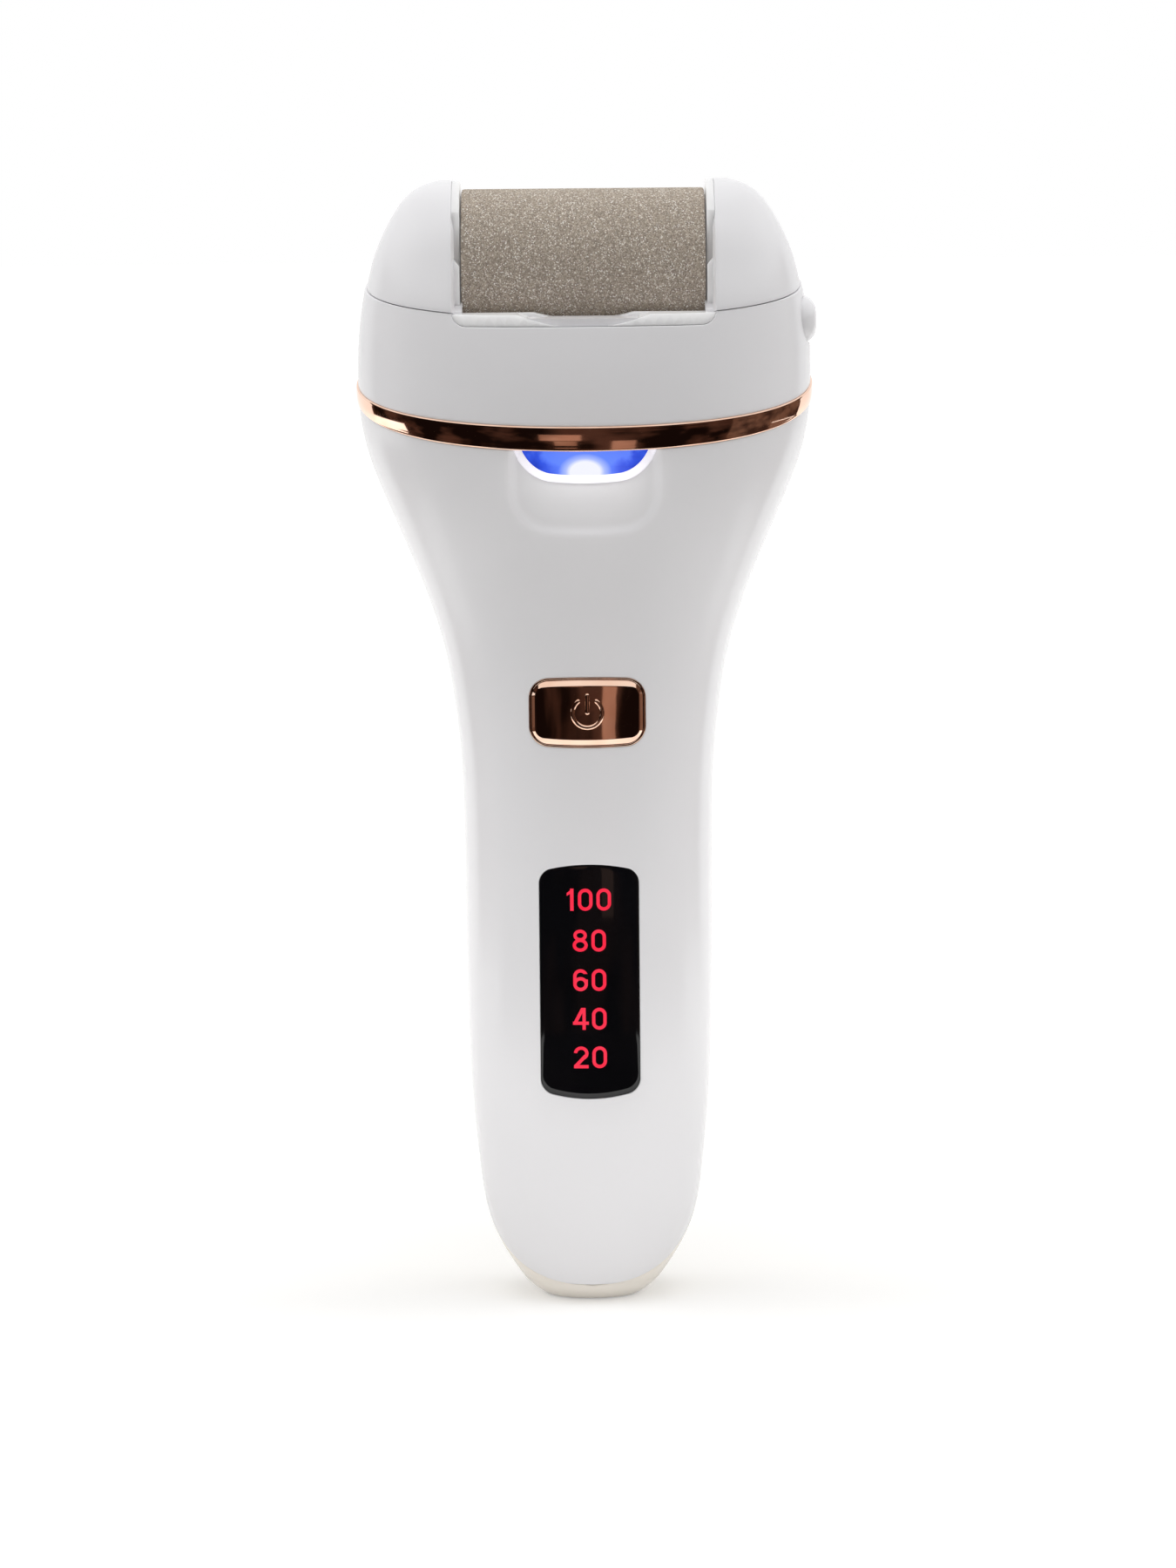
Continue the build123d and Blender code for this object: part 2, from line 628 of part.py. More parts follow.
with BuildPart() as motor_magnets:
    z_cylinder(motor_radius - 0.75, 102, 118)
    z_cylinder(8.1, 100, 120, mode=Mode.SUBTRACT)
    block(-3, 3, -12, 12, 100, 120, mode=Mode.SUBTRACT)
motor_magnets.part.label = "motor_magnets"
export_step(motor_magnets.part, "parts/motor_magnets.step")

with BuildPart() as motor_shaft:
    z_cylinder(1.0, 95.9, 132.4)
motor_shaft.part.label = "motor_shaft"
export_step(motor_shaft.part, "parts/motor_shaft.step")

with BuildPart() as motor_rotor:
    z_cylinder(7.7, 103, 117)
    with BuildSketch(Plane.XY.offset(102)) as rotor_slots:
        with PolarLocations(6.0, 3):
            Circle(1.5)
        with PolarLocations(7.6, 3):
            Rectangle(3, 0.8)
    extrude(amount=16, mode=Mode.SUBTRACT)
    z_cylinder(3.0, 99.5, 103)
    z_cylinder(1.0, 90, 125, mode=Mode.SUBTRACT)
motor_rotor.part.label = "motor_rotor"
export_step(motor_rotor.part, "parts/motor_rotor.step")

with BuildPart() as motor_end_cap:
    z_cylinder(motor_radius - 0.75, motor_low + 0.1, motor_low + 1.3)
    z_cylinder(motor_radius, motor_low - 1.4, motor_low)
    z_cylinder(motor_radius - 0.75, motor_low - 0.2, motor_low + 0.3)
    z_cylinder(3.0, 95.6, 97)
    z_cylinder(1.05, 95.8, 101, mode=Mode.SUBTRACT)
    for x in (-7, 7):
        block(x - 0.25, x + 0.25, -1.0, 1.0, 95, 101, mode=Mode.SUBTRACT)
motor_end_cap.part.label = "motor_end_cap"
export_step(motor_end_cap.part, "parts/motor_end_cap.step")

with BuildPart() as motor_terminals:
    for x in (-7, 7):
        block(x - 0.2, x + 0.2, -0.9, 0.9, 94.2, 100.4)
    for x in (-5.1, 5.1):
        block(x - 1.95, x + 1.95, -0.5, 0.5, 100.4, 100.8)
motor_terminals.part.label = "motor_terminals"
export_step(motor_terminals.part, "parts/motor_terminals.step")

# ---------------------------------------------------------------- cell and boards
with BuildPart() as battery_cell:
    z_cylinder(cell_radius, cell_low, cell_high - 0.6, 0, cell_y)
    z_cylinder(3.6, cell_high - 0.7, cell_high, 0, cell_y)
    chamfer(battery_cell.edges().filter_by(GeomType.CIRCLE).sort_by(SortBy.RADIUS)[-1:], 0.5)
battery_cell.part.label = "battery_cell"
export_step(battery_cell.part, "parts/battery_cell.step")

with BuildPart() as cell_tabs:
    block(-3, 3, cell_y - 9.5, cell_y + 2, cell_high, cell_high + 0.25)
    block(-3, 3, cell_y - 9.5, cell_y - 9.25, cell_high - 4, cell_high + 0.25)
    block(-3, 3, cell_y - 9.5, cell_y + 2, cell_low - 0.25, cell_low)
    block(-3, 3, cell_y - 9.5, cell_y - 9.25, cell_low - 0.25, cell_low + 4)
cell_tabs.part.label = "cell_tabs"
export_step(cell_tabs.part, "parts/cell_tabs.step")

with BuildPart() as main_board:
    block(-9.5, 9.5, board_front, board_back, 33, 99.5)
    chamfer(main_board.edges().filter_by(Axis.Y), 1.0)
    for x, z in post_spots:
        y_cylinder(0.9, -13, -9, x, z, mode=Mode.SUBTRACT)
main_board.part.label = "main_board"
export_step(main_board.part, "parts/main_board.step")

with BuildPart() as board_screws:
    for x, z in post_spots:
        y_cylinder(0.7, -13.6, -10, x, z)
        y_cylinder(1.5, board_back, board_back + 0.8, x, z)
        with Locations((x, board_back + 0.7, z)):
            Box(2.0, 0.4, 0.4, mode=Mode.SUBTRACT)
board_screws.part.label = "board_screws"
export_step(board_screws.part, "parts/board_screws.step")

with BuildPart() as board_parts:
    # Charge controller, motor driver, inductor and a row of small chips on the back of the board
    block(-3, 3, board_back, board_back + 1.2, 72, 78)
    block(-2.5, 2.5, board_back, board_back + 1.2, 62, 66)
    block(-8, -4.6, board_back, board_back + 1.6, 60, 63.4)
    for step in range(5):
        block(5.5, 7.1, board_back, board_back + 0.6, 50 + 3 * step, 50.9 + 3 * step)
    for step in range(4):
        block(-7.1, -5.5, board_back, board_back + 0.6, 44 + 3 * step, 44.9 + 3 * step)
board_parts.part.label = "board_parts"
export_step(board_parts.part, "parts/board_parts.step")

with BuildPart() as light_box:
    block(-6.3, 6.3, -14.4, board_front, 37.3, 69.2)
    for text, z in digit_rows:
        block(-5.2, 5.2, -16, -12.4, z - 2.3, z + 2.3, mode=Mode.SUBTRACT)
light_box.part.label = "light_box"
export_step(light_box.part, "parts/light_box.step")

with BuildPart() as digit_emitters:
    for text, z in digit_rows:
        for x in (-2.4, 2.4):
            block(x - 0.8, x + 0.8, -13.0, -12.4, z - 0.4, z + 0.4)
digit_emitters.part.label = "digit_emitters"
export_step(digit_emitters.part, "parts/digit_emitters.step")

with BuildPart() as charge_board:
    block(-7, 7, 0.8, 9.4, 11.2, 12.2)
charge_board.part.label = "charge_board"
export_step(charge_board.part, "parts/charge_board.step")

with BuildPart() as charging_socket:
    with BuildSketch(Plane.XZ.offset(-5.8)) as socket_shell:
        with Locations((0, 13.95)):
            SlotOverall(9.0, 3.3)
            SlotOverall(8.4, 2.7, mode=Mode.SUBTRACT)
    extrude(amount=-7.2)
    with BuildSketch(Plane.XZ.offset(-5.8)) as socket_back:
        with Locations((0, 13.95)):
            SlotOverall(9.0, 3.3)
    extrude(amount=-0.8)
    block(-4, 4, 5.8, 8.6, 12.2, 12.4)
charging_socket.part.label = "charging_socket"
export_step(charging_socket.part, "parts/charging_socket.step")

with BuildPart() as socket_tongue:
    block(-3.2, 3.2, 6.6, 12.0, 13.6, 14.3)
socket_tongue.part.label = "socket_tongue"
export_step(socket_tongue.part, "parts/socket_tongue.step")

# ---------------------------------------------------------------- release mechanism
with BuildPart() as retaining_pin:
    x_cylinder(pin_radius, pin_tip, collar_x + 0.1, 0, roller_z)
    x_cylinder(3.3, collar_x, collar_x + 0.85, 0, roller_z)
    x_cylinder(1.4, collar_x + 0.8, 29.3, 0, roller_z)
    chamfer(retaining_pin.edges().filter_by(GeomType.CIRCLE).sort_by(Axis.X)[0], 0.5)
retaining_pin.part.label = "retaining_pin"
export_step(retaining_pin.part, "parts/retaining_pin.step")

spring_start = (collar_x + 1.15, 0, roller_z)
with BuildPart() as pin_spring:
    with BuildLine() as spring_path:
        Helix(pitch=0.8, height=2.25, radius=2.2, center=spring_start, direction=(1, 0, 0))
    with BuildSketch(Plane(origin=spring_path.line @ 0, z_dir=spring_path.line % 0)):
        Circle(0.25)
    sweep()
pin_spring.part.label = "pin_spring"
export_step(pin_spring.part, "parts/pin_spring.step")

with BuildPart() as release_lever:
    with BuildSketch(Plane.XZ.offset(-4.2)):
        with Locations((lever_x, lever_z)):
            Circle(1.7)
        with Locations((lever_x + 1.0, release_z)):
            Circle(1.0)
        with Locations((lever_x + 0.8, roller_z)):
            Circle(1.0)
        with BuildLine():
            Polyline(
                (lever_x, release_z),
                (lever_x + 1.4, release_z),
                (lever_x + 1.0, lever_z),
                (lever_x + 1.2, roller_z + 0.6),
                (lever_x + 0.6, roller_z + 2.2),
                (lever_x - 0.6, roller_z + 2.2),
                (lever_x - 0.9, lever_z),
                close=True,
            )
        make_face()
    extrude(amount=8.4)
    for low_y, high_y in ((-5, -2.2), (2.2, 5)):
        block(20, 30, low_y, high_y, 150, 158.2, mode=Mode.SUBTRACT)
    block(20, 30, -2.5, 2.5, 162.1, 170, mode=Mode.SUBTRACT)
    y_cylinder(0.95, -6, 6, lever_x, lever_z, mode=Mode.SUBTRACT)
release_lever.part.label = "release_lever"
export_step(release_lever.part, "parts/release_lever.step")

with BuildPart() as lever_pin:
    y_cylinder(0.9, -6.4, 6.4, lever_x, lever_z)
lever_pin.part.label = "lever_pin"
export_step(lever_pin.part, "parts/lever_pin.step")

with BuildPart() as release_button:
    x_slot(release_length, release_height, 31.5, 36.4, release_z)
    fillet(release_button.faces().sort_by(Axis.X)[-1].edges(), 2.2)
    x_slot(release_length + 1.4, release_height + 1.8, 30.7, 31.5, release_z)
    x_cylinder(1.5, lever_x + 2.05, 31, 0, release_z)
release_button.part.label = "release_button"
export_step(release_button.part, "parts/release_button.step")

# ---------------------------------------------------------------- power button
with BuildPart() as button_inside:
    body_loft(-2.85, 70, 125)
with BuildPart() as button_flange:
    body_loft(-2.15, 70, 125)
    front_outline(18.2, 11.1, 2.95, 0.35, button_z, -40, 0, mode=Mode.INTERSECT)
    add(button_inside.part, mode=Mode.SUBTRACT)
with BuildPart() as power_button:
    body_loft(0.55, 70, 125)
    front_outline(17.35, 10.25, 2.5, 0.35, button_z, -40, 0, mode=Mode.INTERSECT)
    add(button_inside.part, mode=Mode.SUBTRACT)
    add(button_flange.part)
power_button.part.label = "power_button"
export_step(power_button.part, "parts/power_button.step")

with BuildPart() as power_symbol:
    body_loft(0.72, 70, 125)
    with BuildSketch(Plane.XZ.offset(10)) as symbol:
        with Locations((0, button_z)):
            Circle(2.65)
            Circle(1.98, mode=Mode.SUBTRACT)
            with Locations((0, 2)):
                Rectangle(2.3, 4, mode=Mode.SUBTRACT)
            with Locations((0, 1.35)):
                Rectangle(0.68, 3.3)
    extrude(amount=20, mode=Mode.INTERSECT)
    body_loft(0.55, 70, 125, mode=Mode.SUBTRACT)
power_symbol.part.label = "power_symbol"
export_step(power_symbol.part, "parts/power_symbol.step")

with BuildPart() as button_frame:
    body_loft(0.3, 70, 125)
    front_outline(18.25, 11.15, 2.95, 0.35, button_z, -40, 0, mode=Mode.INTERSECT)
    front_outline(17.55, 10.45, 2.6, 0.35, button_z, -41, 1, mode=Mode.SUBTRACT)
    body_loft(-wall + 0.05, 70, 125, mode=Mode.SUBTRACT)
button_frame.part.label = "button_frame"
export_step(button_frame.part, "parts/button_frame.step")

with BuildPart() as switch_body:
    block(-3, 3, board_front - 1.3, board_front, button_z - 3, button_z + 3)
    y_cylinder(1.6, -15, board_front - 0.4, 0, button_z, mode=Mode.SUBTRACT)
switch_body.part.label = "switch_body"
export_step(switch_body.part, "parts/switch_body.step")

with BuildPart() as switch_plunger:
    y_cylinder(1.5, -13.62, board_front - 0.75, 0, button_z)
switch_plunger.part.label = "switch_plunger"
export_step(switch_plunger.part, "parts/switch_plunger.step")


# ---------------------------------------------------------------- display
def digit_zero(x, z):
    """A 0, as a ring of two half circles and straight sides."""
    with BuildSketch(Plane.XZ.offset(10)) as shape:
        with Locations((x, z)):
            SlotOverall(digit_height, 2.3, rotation=90)
            SlotOverall(digit_height - 1.05, 1.25, rotation=90, mode=Mode.SUBTRACT)
    return shape.sketch


def digit_one(x, z):
    """A 1, as a bar with a flag."""
    top = z + digit_height / 2
    with BuildSketch(Plane.XZ.offset(10)) as shape:
        with Locations((x + 0.25, z)):
            Rectangle(0.55, digit_height)
        with BuildLine():
            Polyline(
                (x + 0.3, top),
                (x - 0.55, top - 0.7),
                (x - 0.55, top - 1.15),
                (x + 0.3, top - 0.6),
                close=True,
            )
        make_face()
    return shape.sketch


def digit_two(x, z):
    """A 2, as an arc, a diagonal and a base bar."""
    base = z - digit_height / 2
    top = z + digit_height / 2
    with BuildSketch(Plane.XZ.offset(10)) as shape:
        with Locations((x, top - 1.1)):
            Ellipse(1.15, 1.1)
            Ellipse(0.62, 0.6, mode=Mode.SUBTRACT)
        with BuildLine():
            Polyline(
                (x - 1.3, top - 1.0),
                (x - 0.1, top - 1.1),
                (x + 0.6, top - 1.75),
                (x, top - 2.4),
                (x - 1.3, top - 2.4),
                close=True,
            )
        make_face(mode=Mode.SUBTRACT)
        with BuildLine():
            Polyline(
                (x + 0.5, top - 1.3),
                (x + 1.1, top - 1.45),
                (x - 0.4, base + 0.45),
                (x - 1.15, base + 0.45),
                close=True,
            )
        make_face()
        with Locations((x, base + 0.26)):
            Rectangle(2.3, 0.52)
    return shape.sketch


def digit_four(x, z):
    """A 4, as a sloping stroke, a bar and an upright."""
    base = z - digit_height / 2
    top = z + digit_height / 2
    with BuildSketch(Plane.XZ.offset(10)) as shape:
        with Locations((x + 0.5, z)):
            Rectangle(0.52, digit_height)
        with Locations((x, base + 1.05)):
            Rectangle(2.5, 0.5)
        with BuildLine():
            Polyline(
                (x + 0.3, top),
                (x + 0.3, top - 0.7),
                (x - 0.65, base + 1.0),
                (x - 1.25, base + 1.0),
                (x + 0.05, top),
                close=True,
            )
        make_face()
    return shape.sketch


def digit_six(x, z):
    """A 6, as a low ring and a stem."""
    base = z - digit_height / 2
    with BuildSketch(Plane.XZ.offset(10)) as shape:
        with Locations((x, z)):
            SlotOverall(digit_height, 2.3, rotation=90)
            SlotOverall(digit_height - 1.05, 1.25, rotation=90, mode=Mode.SUBTRACT)
        with Locations((x + 0.9, z + 0.55)):
            Rectangle(1.1, 0.9, mode=Mode.SUBTRACT)
        with Locations((x, base + 1.12)):
            Ellipse(1.15, 1.12)
            Ellipse(0.62, 0.6, mode=Mode.SUBTRACT)
    return shape.sketch


def digit_eight(x, z):
    """An 8, as two rings."""
    base = z - digit_height / 2
    top = z + digit_height / 2
    with BuildSketch(Plane.XZ.offset(10)) as shape:
        with Locations((x, top - 0.92)):
            Ellipse(1.05, 0.92)
        with Locations((x, base + 1.02)):
            Ellipse(1.18, 1.02)
            Ellipse(0.66, 0.52, mode=Mode.SUBTRACT)
        with Locations((x, top - 0.92)):
            Ellipse(0.55, 0.42, mode=Mode.SUBTRACT)
    return shape.sketch


digit_shapes = {
    "0": digit_zero,
    "1": digit_one,
    "2": digit_two,
    "4": digit_four,
    "6": digit_six,
    "8": digit_eight,
}
digit_centres = {2: (-1.45, 1.45), 3: (-2.95, -0.6, 2.3)}

with BuildPart() as digits_front:
    body_loft(-0.01, 20, 100)
with BuildPart() as digits_back:
    body_loft(-0.11, 20, 100)
with BuildPart() as display_digits:
    for text, z in digit_rows:
        for character, x in zip(text, digit_centres[len(text)]):
            extrude(digit_shapes[character](x, z), amount=12)
    add(digits_front.part, mode=Mode.INTERSECT)
    add(digits_back.part, mode=Mode.SUBTRACT)
display_digits.part.label = "display_digits"
export_step(display_digits.part, "parts/display_digits.step")

with BuildPart() as display_window:
    body_loft(-0.12, 28, 90)
    front_outline(window_width, window_height, 1.75, 1.2, window_z, -40, 0, mode=Mode.INTERSECT)
    body_loft(-1.2, 28, 90, mode=Mode.SUBTRACT)
display_window.part.label = "display_window"
export_step(display_window.part, "parts/display_window.step")

# ---------------------------------------------------------------- lamp under the ring
with BuildPart() as led_lens:
    body_loft(-1.0, 115, 160)
    front_outline(20.0, 13.0, 5.0, 1.3, 139.9, -40, 0, mode=Mode.INTERSECT)
    lens_limit = [(-far, 100), (0, 100), (0, ring_bottom - 0.05), (-far, ring_bottom_front - 0.05)]
    side_prism(lens_limit, mode=Mode.INTERSECT)
    body_loft(-wall, 115, 160, mode=Mode.SUBTRACT)
    for x in (-7, 7):
        y_cylinder(0.8, -20, -18.35, x, lens_z + 1)
led_lens.part.label = "led_lens"
export_step(led_lens.part, "parts/led_lens.step")

with BuildPart() as led_board:
    block(-10.2, 10.2, -18.35, -17.35, 130, 139)
led_board.part.label = "led_board"
export_step(led_board.part, "parts/led_board.step")

with BuildPart() as led_emitters:
    for x in (-3.4, 0, 3.4):
        block(x - 1, x + 1, -19.1, -18.35, lens_z - 1, lens_z + 1)
led_emitters.part.label = "led_emitters"
export_step(led_emitters.part, "parts/led_emitters.step")


# ---------------------------------------------------------------- leads
def lead(points, start_way, end_way, radius=0.5):
    """A wire along a smooth path."""
    with BuildLine() as path:
        Spline(*points, tangents=(start_way, end_way))
    with BuildSketch(Plane(origin=path.line @ 0, z_dir=path.line % 0)) as wire:
        Circle(radius)
    sweep(wire.sketch, path=path.line)


with BuildPart() as motor_leads:
    for side in (-1, 1):
        wire_points = [
            (7.0 * side, -1.4, 94.6),
            (8.3 * side, -6.0, 92.4),
            (8.3 * side, board_back, 89),
        ]
        lead(wire_points, (0, -1, 0), (0, -1, 0))
motor_leads.part.label = "motor_leads"
export_step(motor_leads.part, "parts/motor_leads.step")

with BuildPart() as cell_leads:
    lead([(1.5, cell_y - 9.5, 89.5), (1.5, -7.6, 87.5), (1.5, board_back, 86)], (0, -1, 0), (0, -1, 0))
    lead([(-1.5, cell_y - 9.5, 29.5), (-1.5, -7.6, 32.5), (-1.5, board_back, 36)], (0, -1, 0), (0, -1, 0))
cell_leads.part.label = "cell_leads"
export_step(cell_leads.part, "parts/cell_leads.step")

with BuildPart() as charge_leads:
    for side in (-1, 1):
        wire_points = [
            (5.0 * side, 2.2, 12.2),
            (5.0 * side, -2.5, 19),
            (5.0 * side, -7.6, 29),
            (5.0 * side, board_back, 36),
        ]
        lead(wire_points, (0, 0, 1), (0, -1, 0))
charge_leads.part.label = "charge_leads"
export_step(charge_leads.part, "parts/charge_leads.step")

with BuildPart() as led_leads:
    for side in (-1, 1):
        wire_points = [
            (8.6 * side, -17.35, 131.4),
            (9.0 * side, -15.4, 125),
            (9.5 * side, -13.6, 114),
            (8.2 * side, -11.2, 99.5),
        ]
        lead(wire_points, (0, 1, 0), (0, 0, -1), 0.4)
led_leads.part.label = "led_leads"
export_step(led_leads.part, "parts/led_leads.step")
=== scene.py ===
import math

import bmesh
import bpy
import numpy as np
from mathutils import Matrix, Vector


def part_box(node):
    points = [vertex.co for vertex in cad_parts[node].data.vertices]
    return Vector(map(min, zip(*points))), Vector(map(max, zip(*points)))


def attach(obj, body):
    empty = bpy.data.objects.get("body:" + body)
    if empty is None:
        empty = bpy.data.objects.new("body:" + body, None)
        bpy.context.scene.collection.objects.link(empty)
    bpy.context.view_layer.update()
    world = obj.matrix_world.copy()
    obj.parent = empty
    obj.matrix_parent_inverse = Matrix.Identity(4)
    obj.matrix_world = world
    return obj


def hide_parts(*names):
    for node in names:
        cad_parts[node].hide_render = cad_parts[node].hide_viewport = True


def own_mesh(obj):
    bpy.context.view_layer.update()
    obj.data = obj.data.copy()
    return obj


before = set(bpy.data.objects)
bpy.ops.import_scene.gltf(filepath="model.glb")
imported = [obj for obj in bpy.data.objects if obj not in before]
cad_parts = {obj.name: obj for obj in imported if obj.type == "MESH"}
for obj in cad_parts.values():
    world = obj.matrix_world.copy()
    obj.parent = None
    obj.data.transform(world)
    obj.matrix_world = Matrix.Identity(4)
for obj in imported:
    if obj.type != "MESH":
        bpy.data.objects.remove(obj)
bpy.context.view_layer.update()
print("packed model loaded:", len(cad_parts), "nodes")


# Sizes, in millimetres
def boxOf(node):
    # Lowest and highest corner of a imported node
    low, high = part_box(node)
    return np.array(low) * 1000, np.array(high) * 1000


def middleOf(node):
    # Middle of that box
    low, high = boxOf(node)
    return (low + high) / 2


body = {
    "heights": [0, 1.2, 3.5, 6.7, 10, 14.2, 21, 30, 45, 60, 75, 86, 95, 103, 111.5,
                120, 128, 134.5, 140.6, 147, 153, 159, 165],
    "halfWidths": [7.8, 9.5, 11.6, 13.7, 15.4, 16.8, 17.85, 18.75, 19.55, 19.7, 19.75, 20.05, 20.9,
                   22.2, 24.6, 27.9, 31.3, 33.8, 35.2, 35.6, 35.45, 34.75, 33.6],
    "halfDepths": [6.8, 8.3, 9.9, 11.4, 12.6, 13.9, 15.2, 16.2, 16.9, 17.1, 16.9, 16.6, 16.5,
                   16.9, 17.9, 19.5, 21.3, 22.5, 23.0, 22.6, 21.5, 20.2, 18.9],
    "squareness": 0.626,   # handle length of each section's arcs, 0.552 is an ellipse
    "wall": 1.5,
    "seamRound": 0.16,     # rounding of the edges along the seams
}


def smoothCurve(knots, values):
    # Natural cubic spline: one tridiagonal solve gives the bending at each knot, and each span is a cubic
    knots = np.asarray(knots, float)
    values = np.asarray(values, float)
    gap = np.diff(knots)
    slope = np.diff(values) / gap
    inner = np.arange(1, len(knots) - 1)
    matrix = np.eye(len(knots))
    matrix[inner, inner - 1] = gap[:-1]
    matrix[inner, inner] = 2 * (gap[:-1] + gap[1:])
    matrix[inner, inner + 1] = gap[1:]
    side = np.zeros(len(knots))
    side[1:-1] = 6 * np.diff(slope)
    bend = np.linalg.solve(matrix, side)

    def at(place):
        place = np.asarray(place, float)
        i = np.clip(np.searchsorted(knots, place) - 1, 0, len(gap) - 1)
        p = (knots[i + 1] - place) / gap[i]
        q = (place - knots[i]) / gap[i]
        cubic = (p ** 3 - p) * bend[i] + (q ** 3 - q) * bend[i + 1]
        return p * values[i] + q * values[i + 1] + cubic * gap[i] ** 2 / 6

    return at


halfWidth = smoothCurve(body["heights"], body["halfWidths"])
halfDepth = smoothCurve(body["heights"], body["halfDepths"])


def rise(t):
    # Bezier quarter of the unit section: how far along the widening axis it is at t
    k = body["squareness"]
    return 3 * (1 - t) ** 2 * t * k + 3 * (1 - t) * t ** 2 + t ** 3


quarterT = np.linspace(0, 1, 4001)
quarterRise = rise(quarterT)


def quarterOf(share):
    # The t at which rise reaches share, read from the table above
    return np.interp(share, quarterRise, quarterT)


def across(share):
    # On the unit section, the one coordinate from the other
    return rise(1 - quarterOf(np.abs(share)))


def unitSection(turn):
    # Point of the unit section; turn counts quarters: 0 front, 1 right, 2 rear, 3 left
    turn = np.mod(turn, 4)
    quarter = np.floor(turn)
    t = turn - quarter
    near, far = rise(1 - t), rise(t)
    x = np.choose(quarter.astype(int), [far, near, -far, -near])
    y = np.choose(quarter.astype(int), [-near, far, near, -far])
    return x, y


def frontY(x, z, grow=0.0):
    # y of the body's front at x and z: half-depth times the unit section there
    return -(halfDepth(z) + grow) * across(np.clip(np.abs(x) / (halfWidth(z) + grow), 0, 1))


def sideX(y, z, grow=0.0):
    # x of the body's side at y and z: half-width times the unit section there
    return (halfWidth(z) + grow) * across(np.clip(np.abs(y) / (halfDepth(z) + grow), 0, 1))


# Meshes
def gridFaces(rows, columns, closed=False):
    # Quads of a grid numbered row by row; closed joins the last column to the first
    last = columns if closed else columns - 1
    r, c = np.meshgrid(np.arange(rows - 1), np.arange(last), indexing="ij")
    r, c = r.ravel(), c.ravel()
    n = (c + 1) % columns
    here, above = r * columns, (r + 1) * columns
    return np.stack([here + c, here + n, above + n, above + c], 1)


def weld(points, faces, step=0.01):
    # Joins points that fall in the same cell of a grid of that step; also returns which points stay
    _, first, back = np.unique(np.round(points / step).astype(np.int64), axis=0,
                               return_index=True, return_inverse=True)
    return points[first], back.ravel()[faces], first


def makePiece(name, points, faces, material, riding):
    # Joins points that coincide, drops faces without area, and makes the mesh in metres
    points, faces, _ = weld(np.asarray(points, float).reshape(-1, 3), faces, 0.02)
    faces = [tuple(dict.fromkeys(face)) for face in faces.tolist()]
    faces = [face for face in faces if len(face) > 2]
    mesh = bpy.data.meshes.new(name)
    mesh.from_pydata((points / 1000).tolist(), [], faces)
    mesh.validate()
    mesh.polygons.foreach_set("use_smooth", np.ones(len(mesh.polygons), bool))
    mesh.set_sharp_from_angle(angle=math.radians(38))
    mesh.materials.append(material)
    made = bpy.data.objects.new(name, mesh)
    bpy.context.scene.collection.objects.link(made)
    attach(made, riding)
    print("made", name, len(mesh.polygons), "faces")
    return made


def pointNormals(points, faces):
    # Area-weighted mean of the faces' normals at each point
    a, b, c, d = (points[faces[:, i]] for i in range(4))
    flat = np.cross(c - a, d - b)
    total = np.zeros_like(points)
    for i in range(4):
        np.add.at(total, faces[:, i], flat)
    return total / np.maximum(np.linalg.norm(total, axis=1, keepdims=True), 1e-12)


def wallOf(points, faces, wall, edgeRound):
    # Gives a sheet its wall: the sheet, a copy moved inwards, and a rounded rim along each free edge.
    # A rim point at angle q lies round*(1-sin q) back from the edge and round*(1-cos q) below the sheet.
    points, faces, kept = weld(points, faces)
    edgeRound = np.broadcast_to(edgeRound, len(kept)) if np.ndim(edgeRound) == 0 else edgeRound[kept]
    normal = pointNormals(points, faces)
    count = len(points)
    start = faces.ravel()
    end = np.roll(faces, -1, axis=1).ravel()
    real = start != end
    start, end = start[real], end[real]
    code, reverse = start * count + end, end * count + start
    free = ~np.isin(code, reverse)
    start, end = start[free], end[free]
    along = points[end] - points[start]
    along /= np.maximum(np.linalg.norm(along, axis=1, keepdims=True), 1e-12)
    outward = np.zeros_like(points)
    for tip in (start, end):
        np.add.at(outward, tip, np.cross(along, normal[tip]))
    rim = np.unique(np.concatenate([start, end]))
    outward = outward[rim] / np.maximum(np.linalg.norm(outward[rim], axis=1, keepdims=True), 1e-12)
    place = np.zeros(count, int)
    place[rim] = np.arange(len(rim))
    radius = edgeRound[rim][:, None]
    edge, down = points[rim].copy(), normal[rim]
    layers = [edge - outward * radius * (1 - math.sin(q)) - down * radius * (1 - math.cos(q))
              for q in np.radians([0, 30, 60, 90])]
    outer = points.copy()
    outer[rim] = layers[0]
    under = points - normal * wall
    everything = np.concatenate([outer, under] + layers[1:])
    ids = [rim] + [2 * count + i * len(rim) + np.arange(len(rim)) for i in range(3)] + [rim + count]
    strips = [np.stack([upper[place[end]], upper[place[start]], lower[place[start]], lower[place[end]]], 1)
              for upper, lower in zip(ids[:-1], ids[1:])]
    return everything, np.concatenate([faces, faces[:, ::-1] + count] + strips)


def roundedOutline(width, height, corner, bulge=0.0):
    # Signed distance to a rounded rectangle whose upper and lower ends bow outwards by bulge
    def distance(u, v):
        ends = height / 2 - bulge + bulge * (1 - np.clip(np.abs(u) / (width / 2), 0, 1) ** 2)
        du = np.abs(u) - (width / 2 - corner)
        dv = np.abs(v) - (ends - corner)
        outside = np.hypot(np.maximum(du, 0), np.maximum(dv, 0))
        return outside + np.minimum(np.maximum(du, dv), 0) - corner
    return distance


def slopeOf(distance, u, v, step=1e-3):
    # Slope of the distance along u and v, by central differences
    du = (distance(u + step, v) - distance(u - step, v)) / (2 * step)
    dv = (distance(u, v + step) - distance(u, v - step)) / (2 * step)
    return du, dv


